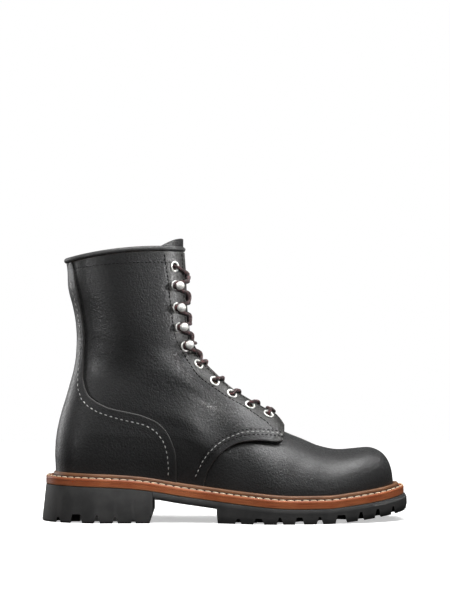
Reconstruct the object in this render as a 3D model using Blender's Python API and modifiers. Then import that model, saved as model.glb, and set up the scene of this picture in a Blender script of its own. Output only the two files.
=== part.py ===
"""Right lace-up leather ankle boot as its maker's pieces. Toe at +X, outer side at -Y, floor at z = 0."""

import math
from bisect import bisect_right
from collections import namedtuple

import bmesh
import bpy
from mathutils import Vector

# Driving sizes in millimetres
MM = 0.001
GAP = 0.3
WALL = 1.8
VAMP_WALL = 2.2
EDGE_WALL = 2.6
QUARTER_STEP = 1.2
COUNTER_THICK = 1.3
TONGUE_THICK = 3.0
TONGUE_HALF_WIDTH = 27.0
TONGUE_RISE = 12.0
TONGUE_DEPTH = 3.2
TONGUE_CROWN = 1.8
TONGUE_CROWN_HALF = 13.0
TONGUE_CROWN_START = 0.56
TONGUE_CROWN_FADE = 0.1
TONGUE_FOOT_V = 0.475
TONGUE_TOP_FALL = 0.45
MIDSOLE_TOP = 4.4
FLANGE_TOP = 7.2
RIM_TOP = 11.0
RIM_THICK = 3.4
WELT_REACH = 9.0
OUTSOLE_LAYER = 6.0
OUTSOLE_REACH = 10.0
TOE_REACH = 1.8
TOE_REACH_START_X = 95.0
HEEL_REACH = 1.8
HEEL_REACH_START_X = -95.0
HEEL_FLARE = 12.2
INSOLE_THICK = 3.0
INSOLE_CLEAR = 2.2
HEEL_BREAST_X = -60.5
TREAD_START_X = -4.0
SPRING_START_X = 84.0
SPRING_END_X = 156.0
SPRING_POWER = 1.5
TOE_SPRING = 9.0
TOE_SWING = 9.0
TOE_SWING_FROM = 0.55
BALL_SWING = 3.0
BALL_SWING_AT = 0.62
BALL_SWING_SPREAD = 0.2
BINDING_RADIUS = 2.2
BINDING_END = 12.5
LACE_RADIUS = 1.4
LACE_LIFT = 3.3
LACE_CROSSING_LIFT = 1.2
LACE_CROSSING_PART = 0.2
LACE_PAST_EDGE = 0.5
LACE_BAR_SHARE = 0.98
HOLDER_SEAT = 0.95
EYELET_RADIUS = 4.75
EYELET_HOLE = 2.3
EYELET_BARREL = 2.8
EYELET_BORE = 3.2
BORE_HALF_LENGTH = 6.0
HOOK_BASE_RADIUS = 4.5
HOOK_BALL_RADIUS = 3.65
HOOK_BALL_HEIGHT = 6.3
HOOK_BALL_END = 2.5
HOOK_BALL_STEPS = 5
HOOK_STEM_RADIUS = 1.9
HOOK_BASE_RISE = 1.4
COUNTER_TOP_Z = 216.0

# How far cutters and hollows run past what they cut
OVERRUN = 12.0
HALF_DEPTH = 90.0
BACK_X = -170.0
FRONT_X = 200.0
BELOW_Z = -20.0
ABOVE_Z = 260.0
SOLE_ABOVE_Z = 80.0
TREAD_BELOW = 4.0
NOTCH_OVERRUN = 10.0
NORMAL_STEP = 0.015

# Mesh fineness
LOOP_POINTS = 36
LOOP_ROWS = 19
INSIDE_POINTS = 26
INSIDE_ROWS = 14
SOLE_POINTS = 40
BINDING_POINTS = 28
TONGUE_ROWS = 11
TONGUE_COLUMNS = 7
NOTCH_OUTLINE_POINTS = 96
ROUND_SIDES = 8
CORD_FINENESS = 1
OVERLAY_FLOOR_POINTS = 24
THROAT_FOOT_ROWS = 8
THROAT_SHAFT_ROWS = 6
SEARCH_STEPS = 24
HALVINGS = 40

# Height of the sole's base line, where midsole meets outsole, along the boot
BasePoint = namedtuple("BasePoint", "x z")
BASE_LINE = [
    BasePoint(-156, 31.0),
    BasePoint(-96, 29.3),
    BasePoint(-70, 27.4),
    BasePoint(-34, 21.7),
    BasePoint(14, 15.7),
    BasePoint(61, 12.2),
    BasePoint(84, 12.2),
    BasePoint(107, 14.4),
    BasePoint(132, 17.9),
    BasePoint(156, 23.0),
]

# Closed sections of the upper's outer face, from the feather line to the collar. Each runs from a point on
# the back to one on the toe, vamp, instep or throat. bed is its share of the sole's side curve.
SECTION_COLUMNS = "back_x back_z front_x front_z bed crown heel waist ball heel_round toe_round nose"
Section = namedtuple("Section", SECTION_COLUMNS)
SECTIONS = [
    Section(-141.0, 35.7, 143.2, 26.0, 1.00, 0, 32.5, 30.5, 47.0, 0.140, 0.30, 2.4),
    Section(-141.2, 47.0, 142.8, 39.0, 1.00, 0, 33.0, 32.0, 48.2, 0.140, 0.30, 2.4),
    Section(-141.6, 56.0, 138.8, 51.0, 0.96, 0, 33.6, 33.5, 48.0, 0.145, 0.30, 2.4),
    Section(-141.2, 64.5, 130.2, 58.8, 0.90, 0, 33.8, 34.6, 46.4, 0.150, 0.30, 2.3),
    Section(-140.2, 73.0, 115.5, 60.8, 0.82, 0, 33.8, 35.0, 44.0, 0.160, 0.31, 2.2),
    Section(-138.4, 82.5, 98.0, 57.8, 0.68, 0, 33.4, 35.0, 40.8, 0.180, 0.33, 2.2),
    Section(-135.6, 93.0, 76.0, 63.4, 0.48, 0, 32.8, 34.4, 38.0, 0.210, 0.35, 2.1),
    Section(-132.0, 104.5, 52.4, 74.0, 0.30, 0, 32.4, 34.0, 35.5, 0.250, 0.36, 2.1),
    Section(-128.8, 116.0, 49.8, 80.4, 0.16, 0, 32.4, 33.6, 34.0, 0.290, 0.38, 2.1),
    Section(-125.8, 127.5, 44.8, 89.4, 0.06, 0, 32.4, 33.4, 33.0, 0.330, 0.40, 2.1),
    Section(-123.8, 140.0, 31.6, 96.4, 0.00, 0, 32.8, 33.4, 32.4, 0.370, 0.43, 2.1),
    Section(-123.2, 154.0, 2.6, 116.2, 0.00, 0, 33.6, 33.8, 32.6, 0.420, 0.46, 2.1),
    Section(-124.0, 167.0, -19.4, 138.2, 0.00, 0, 34.6, 34.8, 34.0, 0.460, 0.50, 2.0),
    Section(-126.2, 180.0, -28.9, 161.0, 0.00, 0, 36.0, 36.2, 35.8, 0.500, 0.50, 2.0),
    Section(-129.6, 193.0, -31.0, 184.0, 0.00, 1, 37.4, 37.4, 37.2, 0.500, 0.50, 2.0),
    Section(-132.4, 205.5, -31.8, 206.0, 0.00, 2, 38.2, 38.2, 38.0, 0.500, 0.50, 2.0),
    Section(-134.8, 217.0, -33.2, 226.8, 0.00, 4, 38.8, 38.8, 38.6, 0.500, 0.50, 2.0),
]
HEEL_AT = 0.17
WAIST_AT = 0.42
BALL_AT = {-1: 0.66, 1: 0.72}
WAIST_HOLLOW = {-1: 0.0, 1: 0.08}
CENTRE_Y = -0.35

# The forefoot as domes over the sole: crest is the vamp's height above the feather line, lift what the
# facings add, fullness the power of the dome's curve
Dome = namedtuple("Dome", "x crest lift fullness")
DOMES = [
    Dome(-45.0, 130.0, 6.0, 1.9),
    Dome(-19.0, 104.0, 9.5, 1.9),
    Dome(3.0, 82.5, 11.5, 1.95),
    Dome(31.0, 66.0, 12.5, 2.0),
    Dome(41.0, 61.6, 12.5, 2.05),
    Dome(46.0, 59.4, 10.0, 2.05),
    Dome(49.0, 58.2, 6.0, 2.1),
    Dome(52.0, 57.0, 0.5, 2.1),
    Dome(62.0, 53.0, 0.0, 2.1),
    Dome(82.0, 45.2, 0.0, 2.15),
    Dome(100.0, 41.4, 0.0, 2.25),
    Dome(119.0, 40.6, 0.0, 2.35),
    Dome(132.0, 38.2, 0.0, 2.4),
    Dome(143.2, 36.5, 0.0, 2.4),
]
DOME_START_X = -45.0
DOME_WHOLE_X = 18.0
DOME_TOP_V = 0.8
DOME_FADE_V = 0.2
TOE_LENGTH = 24.0
TOE_POWER = 2.6
LIFT_POWER = 8
SIDE_SWELL = 0.035

# Side views of the overlays' free edges
EdgePoint = namedtuple("EdgePoint", "x z")
QUARTER_EDGE = [
    EdgePoint(53.5, 76.0),
    EdgePoint(49.0, 67.4),
    EdgePoint(29.0, 68.6),
    EdgePoint(14.5, 67.3),
    EdgePoint(0.0, 60.6),
    EdgePoint(-10.6, 49.0),
    EdgePoint(-17.0, 34.0),
    EdgePoint(-18.0, 20.0),
]
COUNTER_EDGE = [
    EdgePoint(-131.0, 224.0),
    EdgePoint(-120.2, 181.0),
    EdgePoint(-117.0, 151.0),
    EdgePoint(-118.4, 121.0),
    EdgePoint(-115.0, 107.5),
    EdgePoint(-99.5, 96.8),
    EdgePoint(-69.0, 89.5),
    EdgePoint(-55.0, 82.8),
    EdgePoint(-45.5, 70.0),
    EdgePoint(-41.0, 54.0),
    EdgePoint(-40.5, 20.0),
]

# Half gap between the facings, by height
ThroatPoint = namedtuple("ThroatPoint", "z half")
THROAT = [
    ThroatPoint(79.5, 2.5),
    ThroatPoint(81.0, 6.5),
    ThroatPoint(86.0, 9.5),
    ThroatPoint(110.0, 10.5),
    ThroatPoint(150.0, 12.0),
    ThroatPoint(250.0, 12.5),
]

THROAT_X = 15.0
THROAT_DEPTH = 60.0

# Side views of the lace holders on each facing, from the collar down
Holder = namedtuple("Holder", "kind x z")
HOLDERS = [
    Holder("eyelet", -43.0, 214.6),
    Holder("hook", -42.7, 198.5),
    Holder("hook", -41.5, 179.9),
    Holder("hook", -39.3, 163.1),
    Holder("hook", -34.4, 146.8),
    Holder("eyelet", -22.9, 131.9),
    Holder("eyelet", -9.4, 117.6),
    Holder("eyelet", 5.3, 106.8),
    Holder("eyelet", 20.6, 97.3),
    Holder("eyelet", 36.3, 89.6),
]

# Notches between the lugs at the sole's edge
Notch = namedtuple("Notch", "x foot_width top_width depth")
TREAD_NOTCHES = [
    Notch(11.0, 5.0, 2.0, 4.5),
    Notch(28.0, 9.0, 5.0, 5.0),
    Notch(45.6, 5.4, 1.6, 6.0),
    Notch(61.9, 7.6, 4.6, 6.0),
    Notch(79.0, 5.4, 1.6, 6.2),
    Notch(97.0, 9.5, 6.5, 6.8),
    Notch(113.6, 5.4, 1.8, 7.2),
    Notch(128.0, 5.0, 2.0, 7.4),
    Notch(141.5, 3.6, 1.6, 6.6),
]
HEEL_NOTCHES = [
    Notch(-140.0, 4.0, 1.6, 4.6),
    Notch(-124.4, 9.9, 6.7, 7.4),
    Notch(-107.0, 5.4, 1.2, 6.7),
    Notch(-91.7, 4.7, 1.2, 5.7),
    Notch(-76.5, 4.0, 1.4, 3.4),
]
NOTCH_FOOT = 0.5
LUG_REACH = 19.0
CHANNEL_WIDTH = 5.0
CHANNEL_DEPTH = 4.5
TREAD_GROOVES = (19.5, 37.0, 54.0, 70.5, 88.0, 105.0)
HEEL_GROOVES = (-131.0, -112.0, -93.0)
GROOVE_WIDTH = 5.0
GROOVE_DRAFT = 1.0
TREAD_FRONT_LEAN = 3.0
TREAD_FRONT_TOP = 9.0
HEEL_STEP = [(4.0, BELOW_Z), (2.0, 6.5), (0.0, 7.0), (0.0, SOLE_ABOVE_Z)]

# Edges of the sole's layers: reach past the last's lower edge, and rise over the base line
EdgeProfile = namedtuple("EdgeProfile", "reach rise")
MIDSOLE_EDGE = [
    EdgeProfile(WELT_REACH - 0.4, GAP),
    EdgeProfile(WELT_REACH, MIDSOLE_TOP / 2),
    EdgeProfile(WELT_REACH - 0.4, MIDSOLE_TOP),
]
WELT_FLANGE = [
    EdgeProfile(WELT_REACH - 0.4, MIDSOLE_TOP + GAP),
    EdgeProfile(WELT_REACH, MIDSOLE_TOP + 1.5),
    EdgeProfile(WELT_REACH - 0.5, FLANGE_TOP),
]
WELT_RIM = [
    EdgeProfile(RIM_THICK + 1.0, FLANGE_TOP - 0.2),
    EdgeProfile(RIM_THICK + 0.8, RIM_TOP - 1.4),
    EdgeProfile(RIM_THICK - 0.4, RIM_TOP - 0.2),
    EdgeProfile(RIM_THICK - 1.6, RIM_TOP),
]

# Turned profiles of the lace holders
TurnedPoint = namedtuple("TurnedPoint", "radius height")
EYELET_PROFILE = [
    TurnedPoint(EYELET_HOLE, 0.6),
    TurnedPoint(EYELET_RADIUS - 1.6, 1.1),
    TurnedPoint(EYELET_RADIUS, 0.4),
    TurnedPoint(EYELET_RADIUS - 0.2, 0.0),
    TurnedPoint(EYELET_BARREL, 0.0),
    TurnedPoint(EYELET_BARREL, -2.2),
    TurnedPoint(EYELET_HOLE, -2.2),
]
HOOK_FOOT = [
    TurnedPoint(HOOK_STEM_RADIUS, HOOK_BASE_RISE),
    TurnedPoint(HOOK_BASE_RADIUS - 0.6, HOOK_BASE_RISE - 0.2),
    TurnedPoint(HOOK_BASE_RADIUS, 0.0),
    TurnedPoint(0.0, 0.0),
]

# Looks of the pieces: colour, roughness, metallic
Finish = namedtuple("Finish", "colour roughness metallic")
FINISHES = {
    "black_leather": Finish((0.026, 0.026, 0.027), 0.42, 0.0),
    "black_rubber": Finish((0.045, 0.045, 0.046), 0.75, 0.0),
    "brown_leather": Finish((0.36, 0.10, 0.035), 0.5, 0.0),
    "tan_leather": Finish((0.32, 0.17, 0.085), 0.55, 0.0),
    "insole_leather": Finish((0.42, 0.28, 0.16), 0.7, 0.0),
    "nickel": Finish((0.75, 0.74, 0.72), 0.2, 1.0),
    "lace_cord": Finish((0.045, 0.022, 0.022), 0.85, 0.0),
}


def clear_scene():
    """An empty file with a collection for the pieces and one for the cutters."""
    for thing in list(bpy.data.objects):
        bpy.data.objects.remove(thing, do_unlink=True)
    made = []
    for name in ("leather_ankle_boot", "cutters"):
        group = bpy.data.collections.new(name)
        bpy.context.scene.collection.children.link(group)
        made.append(group)
    return made


PIECES, CUTTERS = clear_scene()


def smooth_through(xs, ys, x):
    """A curve through the points that never overshoots them, held level past its ends."""
    if x <= xs[0]:
        return ys[0]
    if x >= xs[-1]:
        return ys[-1]
    step = [b - a for a, b in zip(xs, xs[1:])]
    rise = [(b - a) / h for a, b, h in zip(ys, ys[1:], step)]

    def slope(i):
        if i == 0:
            return rise[0]
        if i == len(rise):
            return rise[-1]
        if rise[i - 1] * rise[i] <= 0:
            return 0.0
        before = 2 * step[i] + step[i - 1]
        after = step[i] + 2 * step[i - 1]
        return (before + after) / (before / rise[i - 1] + after / rise[i])

    i = bisect_right(xs, x) - 1
    t = (x - xs[i]) / step[i]
    held = (1 + 2 * t) * (1 - t) ** 2 * ys[i] + t * t * (3 - 2 * t) * ys[i + 1]
    turned = t * (1 - t) ** 2 * slope(i) - t * t * (1 - t) * slope(i + 1)
    return held + turned * step[i]


def base_z(x):
    return smooth_through([p.x for p in BASE_LINE], [p.z for p in BASE_LINE], x)


def feather_z(x):
    """Height of the upper's lower edge, just above the midsole."""
    return base_z(x) + MIDSOLE_TOP + GAP


def tread_z(x):
    """Height of the forefoot's lowest face: flat, then lifted by the toe spring."""
    past = max(0.0, (x - SPRING_START_X) / (SPRING_END_X - SPRING_START_X))
    return TOE_SPRING * past**SPRING_POWER


def section(v):
    """The section at v, from 0 at the feather line to 1 at the collar, between the table's rows."""
    rows = range(len(SECTIONS))
    at = v * (len(SECTIONS) - 1)
    return Section(*(smooth_through(rows, column, at) for column in zip(*SECTIONS)))


def rounded_end(t, power):
    """Width of a rounded end, 0 at its tip and 1 from t = 1 on."""
    return (1 - (1 - min(t, 1.0)) ** power) ** (1 / power)


def lean(u):
    """How far a foot's centre line lies to the inner side, along its length."""
    toe = TOE_SWING * ease((u - TOE_SWING_FROM) / (1 - TOE_SWING_FROM))
    return toe - BALL_SWING * math.exp(-(((u - BALL_SWING_AT) / BALL_SWING_SPREAD) ** 2))


def ease(t):
    """0 to 1 with level ends."""
    t = min(1.0, max(0.0, t))
    return t * t * (3 - 2 * t)


def half_width(row, u, side):
    """Half the width of a section at u along it, on one side."""
    places = [0.0, HEEL_AT, WAIST_AT, BALL_AT[side], 1.0]
    waist = row.waist * (1 - WAIST_HOLLOW[side] * row.bed)
    widths = [row.heel, row.heel, waist, row.ball, row.ball]
    half = smooth_through(places, widths, u)
    return half * rounded_end(u / row.heel_round, 2.0) * rounded_end((1 - u) / row.toe_round, row.nose)


def along_foot(x):
    """Share of the feather line's length at x."""
    foot = SECTIONS[0]
    return (x - foot.back_x) / (foot.front_x - foot.back_x)


def dome(x, half, rise, side, lifted):
    """A section's point moved straight out from the foot's middle to the dome over the sole at x."""
    xs = [d.x for d in DOMES]
    crest = smooth_through(xs, [d.crest for d in DOMES], x)
    lift = smooth_through(xs, [d.lift for d in DOMES], x) if lifted else 0.0
    power = smooth_through(xs, [d.fullness for d in DOMES], x)
    past = max(0.0, SECTIONS[0].front_x - x) / TOE_LENGTH
    high = max(0.01, crest * rounded_end(past, TOE_POWER))
    wide = max(0.01, half_width(SECTIONS[0], min(1.0, along_foot(x)), side))
    turn = math.atan2(max(0.0, rise), half)
    reach = ((math.cos(turn) / wide) ** power + (math.sin(turn) / high) ** power) ** (-1 / power)
    reach += lift * math.sin(turn) ** LIFT_POWER
    swell = 1 + SIDE_SWELL * math.sin(2 * turn)
    return reach * math.cos(turn) * swell, reach * math.sin(turn)


def outer_face(angle, v, lifted=True):
    """A point on the upper's outer face, with or without the facings' lift. angle runs from the back, over
    the outer side, the front and the inner side."""
    row = section(v)
    turn = angle % (2 * math.pi)
    side = -1 if turn < math.pi else 1
    u = (1 - math.cos(turn)) / 2
    x = row.back_x + (row.front_x - row.back_x) * u
    ends = feather_z(row.back_x) * (1 - u) + feather_z(row.front_x) * u
    z = row.back_z * (1 - u) + row.front_z * u + row.bed * (feather_z(x) - ends)
    z += row.crown * 4 * u * (1 - u)
    half = half_width(row, u, side)
    middle = lean(u) * row.bed
    share = ease((x - DOME_START_X) / (DOME_WHOLE_X - DOME_START_X)) * ease((DOME_TOP_V - v) / DOME_FADE_V)
    if share > 0:
        wide, high = dome(x, half, z - feather_z(x), side, lifted)
        half += (wide - half) * share
        z += (feather_z(x) + high - z) * share
        middle += (lean(along_foot(x)) - middle) * share
    return Vector((x, CENTRE_Y + middle + side * half, z))


def face_normal(angle, v, lifted=True):
    """Outward direction of the outer face."""
    around = outer_face(angle + NORMAL_STEP, v, lifted) - outer_face(angle - NORMAL_STEP, v, lifted)
    above = min(1.0, v + NORMAL_STEP)
    below = max(0.0, v - NORMAL_STEP)
    up = outer_face(angle, above, lifted) - outer_face(angle, below, lifted)
    return around.cross(up).normalized()


def leather(angle, v, offset, lifted=True):
    """A point at a distance outside the upper's outer face."""
    return outer_face(angle, v, lifted) + face_normal(angle, v, lifted) * offset


def locate(x, z, side):
    """The angle and v of the outer face at a place in the side view."""
    best = None
    for i in range(1, SEARCH_STEPS):
        for j in range(SEARCH_STEPS + 1):
            angle = math.pi * i / SEARCH_STEPS
            point = outer_face(angle, j / SEARCH_STEPS)
            miss = (point.x - x) ** 2 + (point.z - z) ** 2
            if best is None or miss < best[0]:
                best = (miss, angle, j / SEARCH_STEPS)
    _, angle, v = best
    reach = 0.05
    ways = [(a, b) for a in (-1, 0, 1) for b in (-1, 0, 1)]
    while reach > 1e-5:
        tries = [(angle + a * reach, min(1.0, max(0.0, v + b * reach))) for a, b in ways]
        points = [outer_face(*t) for t in tries]
        misses = [(p.x - x) ** 2 + (p.z - z) ** 2 for p in points]
        least = misses.index(min(misses))
        if tries[least] == (angle, v):
            reach /= 2
        angle, v = tries[least]
    return (angle if side < 0 else 2 * math.pi - angle), v


def angle_at_width(y, v):
    """The angle near the front, on the side of y, where the section is that far from the centre line."""
    near, far = (math.pi, 0.55 * math.pi) if y < 0 else (math.pi, 1.45 * math.pi)
    middle = outer_face(math.pi, v).y
    for _ in range(HALVINGS):
        half = (near + far) / 2
        if abs(outer_face(half, v).y - middle) < abs(y):
            near = half
        else:
            far = half
    return near


def material(name):
    made = bpy.data.materials.get(name)
    if made is None:
        made = bpy.data.materials.new(name)
        made.use_nodes = True
        shader = made.node_tree.nodes["Principled BSDF"]
        shader.inputs["Base Color"].default_value = (*FINISHES[name].colour, 1)
        shader.inputs["Roughness"].default_value = FINISHES[name].roughness
        shader.inputs["Metallic"].default_value = FINISHES[name].metallic
    return made


def as_object(name, mesh, finish=None):
    """A mesh as a piece with its finish, or as a hidden cutter."""
    thing = bpy.data.objects.new(name, mesh)
    if finish is None:
        thing.hide_render = True
        thing.display_type = "WIRE"
        CUTTERS.objects.link(thing)
    else:
        mesh.materials.clear()
        mesh.materials.append(material(finish))
        mesh.shade_smooth()
        mesh.set_sharp_from_angle(angle=math.radians(40))
        PIECES.objects.link(thing)
    return thing


def solid(name, points, faces, finish=None):
    """A closed mesh in metres, with its faces turned outwards."""
    mesh = bpy.data.meshes.new(name)
    mesh.from_pydata([Vector(p) * MM for p in points], [], faces)
    shape = bmesh.new()
    shape.from_mesh(mesh)
    bmesh.ops.recalc_face_normals(shape, faces=shape.faces)
    shape.to_mesh(mesh)
    shape.free()
    return as_object(name, mesh, finish)


def loft(name, loops, finish=None):
    """Closed loops joined in order, the first and last capped by strips from side to side."""
    count = len(loops[0])
    faces = []
    for i in range(len(loops) - 1):
        for j in range(count):
            after = (j + 1) % count
            faces.append((i * count + j, i * count + after, (i + 1) * count + after, (i + 1) * count + j))
    for start in (0, (len(loops) - 1) * count):
        for j in range(count // 2):
            strip = [start + j, start + j + 1, start + (count - j - 1) % count, start + (count - j) % count]
            faces.append(tuple(dict.fromkeys(strip)))
    return solid(name, [point for loop in loops for point in loop], faces, finish)


def slab(name, near, far, finish=None):
    """Two grids of the same size, one over the other, closed round their rims."""
    rows = len(near)
    columns = len(near[0])
    layer = rows * columns
    points = [point for grid in (near, far) for row in grid for point in row]
    faces = []
    for i in range(rows - 1):
        for j in range(columns - 1):
            corner = i * columns + j
            face = (corner, corner + 1, corner + columns + 1, corner + columns)
            faces.append(face)
            faces.append(tuple(k + layer for k in reversed(face)))
    rim = [j for j in range(columns)]
    rim += [i * columns + columns - 1 for i in range(1, rows)]
    rim += [(rows - 1) * columns + j for j in range(columns - 2, -1, -1)]
    rim += [i * columns for i in range(rows - 2, 0, -1)]
    for a, b in zip(rim, rim[1:] + rim[:1]):
        faces.append((a, b, b + layer, a + layer))
    return solid(name, points, faces, finish)


def curve_mesh(curve):
    """A curve object as a closed mesh in world space; the curve is removed."""
    CUTTERS.objects.link(curve)
    bpy.context.view_layer.update()
    ready = curve.evaluated_get(bpy.context.evaluated_depsgraph_get())
    mesh = bpy.data.meshes.new_from_object(ready)
    mesh.transform(curve.matrix_world)
    shape = bmesh.new()
    shape.from_mesh(mesh)
    bmesh.ops.remove_doubles(shape, verts=shape.verts, dist=1e-6)
    bmesh.ops.recalc_face_normals(shape, faces=shape.faces)
    shape.to_mesh(mesh)
    shape.free()
    bpy.data.objects.remove(curve, do_unlink=True)
    return mesh


def poly_spline(name, points, dimensions):
    data = bpy.data.curves.new(name, "CURVE")
    data.dimensions = dimensions
    spline = data.splines.new("POLY")
    spline.points.add(len(points) - 1)
    for slot, point in zip(spline.points, points):
        slot.co = (*(Vector(point) * MM), 1)
    return data, spline


def side_prism(name, outline, half_depth):
    """A side-view outline of x and z, carried through the boot from side to side."""
    data, spline = poly_spline(name, [(x, z, 0) for x, z in outline], "2D")
    spline.use_cyclic_u = True
    data.fill_mode = "BOTH"
    data.extrude = half_depth * MM
    curve = bpy.data.objects.new(name, data)
    curve.rotation_euler = (math.pi / 2, 0, 0)
    return as_object(name, curve_mesh(curve))


def tube(name, points, radius, finish=None):
    """A round cord along the points, with closed ends."""
    data, _ = poly_spline(name, points, "3D")
    data.bevel_depth = radius * MM
    data.bevel_resolution = CORD_FINENESS
    data.use_fill_caps = True
    curve = bpy.data.objects.new(name, data)
    return as_object(name, curve_mesh(curve), finish)


def turned(name, profile, place, axis, finish=None):
    """A profile of radius and height, run down its outer side and turned about an axis at a place."""
    mesh = bpy.data.meshes.new(name)
    points = [(radius * MM, 0, height * MM) for radius, height in profile]
    edges = [(i, i + 1) for i in range(len(points) - 1)]
    if profile[0][0] > 0:
        edges.append((len(points) - 1, 0))
    mesh.from_pydata(points, edges, [])
    thing = as_object(name, mesh, finish)
    screw = thing.modifiers.new("turn", "SCREW")
    screw.axis = "Z"
    screw.steps = ROUND_SIDES
    screw.render_steps = ROUND_SIDES
    screw.use_merge_vertices = True
    screw.merge_threshold = 1e-6
    thing.location = Vector(place) * MM
    thing.rotation_euler = Vector((0, 0, 1)).rotation_difference(axis).to_euler()
    return thing


def boolean(thing, other, operation, solver="EXACT"):
    cut = thing.modifiers.new(operation.lower(), "BOOLEAN")
    cut.operation = operation
    cut.solver = solver
    cut.object = other
    return thing


def spaced(first, last, count):
    return [first + (last - first) * i / (count - 1) for i in range(count)]


def angles(count):
    return [2 * math.pi * i / count for i in range(count)]


def form(name, offset, short=0, below=0.0, above=0.0, lifted=True, finish=None):
    """The filled shape inside the upper's outer face moved by an offset, some rows short of the collar, or
    carried on below its feather and collar. Faces inside the wall are coarser."""
    points, rows = (LOOP_POINTS, LOOP_ROWS) if offset >= 0 else (INSIDE_POINTS, INSIDE_ROWS)
    heights = spaced(0.0, 1.0, rows)[: rows - short]
    loops = [[leather(a, v, offset, lifted) for a in angles(points)] for v in heights]
    if below:
        loops.insert(0, [point - Vector((0, 0, below)) for point in loops[0]])
    if above:
        loops.append([point + Vector((0, 0, above)) for point in loops[-1]])
    return loft(name, loops, finish)


def edge_curve(points, steps=3):
    """A smooth line through an overlay's edge points."""
    places = range(len(points))
    fine = spaced(0, len(points) - 1, (len(points) - 1) * steps + 1)
    xs = [p.x for p in points]
    zs = [p.z for p in points]
    return [(smooth_through(places, xs, t), smooth_through(places, zs, t)) for t in fine]


def overlay_outline(edge, top_z):
    """The side view behind an overlay's free edge and above the welt."""
    line = [(x, z) for x, z in edge_curve(edge) if z > base_z(x) + RIM_TOP + 3 * GAP]
    floor = [(x, base_z(x) + RIM_TOP + GAP) for x in spaced(line[-1][0], BACK_X, OVERLAY_FLOOR_POINTS)]
    return line + floor + [(BACK_X, top_z), (line[0][0], top_z)]


def sole_outline(offset, toe=0.0, heel=0.0, count=SOLE_POINTS):
    """The feather line's plan moved outwards, and by toe and heel more round its ends, as x and y."""
    flat = [outer_face(a, 0.0, False).to_2d() for a in angles(count)]
    moved = []
    for i, here in enumerate(flat):
        along = flat[(i + 1) % count] - flat[i - 1]
        front = max(0.0, (here.x - TOE_REACH_START_X) / (SECTIONS[0].front_x - TOE_REACH_START_X))
        back = max(0.0, (here.x - HEEL_REACH_START_X) / (SECTIONS[0].back_x - HEEL_REACH_START_X))
        moved.append(here + Vector((along.y, -along.x)).normalized() * (offset + toe * front + heel * back))
    return moved


def sole_loop(offset, height, toe=0.0, heel=0.0):
    """One loop of a sole layer: height is a function of x."""
    return [Vector((p.x, p.y, height(p.x))) for p in sole_outline(offset, toe, heel)]


def over_base(rise):
    return lambda x: base_z(x) + rise


def build_upper():
    """Vamp and quarters: one wall with a step at the quarters' edge, open above, below and at the throat."""
    quarters = form("quarter_form", QUARTER_STEP)
    behind = overlay_outline(QUARTER_EDGE, ABOVE_Z)
    boolean(quarters, side_prism("quarter_side_view", behind, HALF_DEPTH), "INTERSECT")
    hollow = form("quarter_inside", -WALL, below=OVERRUN, above=OVERRUN)
    inside = overlay_outline([EdgePoint(p.x - EDGE_WALL, p.z + EDGE_WALL) for p in QUARTER_EDGE], ABOVE_Z)
    boolean(hollow, side_prism("quarter_inside_view", inside, HALF_DEPTH), "INTERSECT")
    throat_heights = [p.z for p in THROAT]
    throat_halves = [p.half for p in THROAT]
    heights = spaced(THROAT[0].z, THROAT[2].z, THROAT_FOOT_ROWS)
    heights += spaced(THROAT[3].z, THROAT[-1].z, THROAT_SHAFT_ROWS)
    right = [(smooth_through(throat_heights, throat_halves, z), z) for z in heights]
    ridge = outer_face(math.pi, TONGUE_FOOT_V).y
    outline = [(ridge + y, z) for y, z in right] + [(ridge - y, z) for y, z in reversed(right)]
    data, spline = poly_spline("throat_front_view", [(y, z, 0) for y, z in outline], "2D")
    spline.use_cyclic_u = True
    data.fill_mode = "BOTH"
    data.extrude = THROAT_DEPTH * MM
    curve = bpy.data.objects.new("throat_front_view", data)
    curve.rotation_euler = (math.pi / 2, 0, math.pi / 2)
    curve.location.x = THROAT_X * MM
    throat = as_object("throat_front_view", curve_mesh(curve))
    upper = form("upper", 0.0, short=1, lifted=False, finish="black_leather")
    boolean(upper, quarters, "UNION")
    past = OVERRUN - 1
    boolean(upper, form("vamp_inside", -VAMP_WALL, below=past, above=past, lifted=False), "DIFFERENCE")
    boolean(upper, hollow, "DIFFERENCE")
    boolean(upper, throat, "DIFFERENCE")
    return upper


def build_counter():
    """Heel counter and backstay: a band outside the upper, cut to its side view."""
    near = QUARTER_STEP + GAP
    counter = form("counter", near + COUNTER_THICK, finish="black_leather")
    inside = form("counter_inside", near, below=OVERRUN, above=OVERRUN)
    boolean(counter, inside, "DIFFERENCE")
    outline = overlay_outline(COUNTER_EDGE, COUNTER_TOP_Z)
    boolean(counter, side_prism("counter_side_view", outline, HALF_DEPTH), "INTERSECT")


def build_binding():
    """The rolled edge round the collar, from facing to facing."""
    first = angle_at_width(-BINDING_END, 1.0)
    last = angle_at_width(BINDING_END, 1.0) - 2 * math.pi
    middle = (QUARTER_STEP - WALL) / 2
    lift = Vector((0, 0, BINDING_RADIUS + 1.4 * GAP))
    path = [leather(a, 1.0, middle) + lift for a in spaced(first, last, BINDING_POINTS)]
    tube("collar_binding", path, BINDING_RADIUS, "black_leather")


def tongue_crown(y, v):
    """How far the tongue swells between the facings, above the throat's foot."""
    part = min(1.0, abs(y) / TONGUE_CROWN_HALF)
    above = min(1.0, max(0.0, (v - TONGUE_CROWN_START) / TONGUE_CROWN_FADE))
    return TONGUE_CROWN * above * (1 - part * part)


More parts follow.
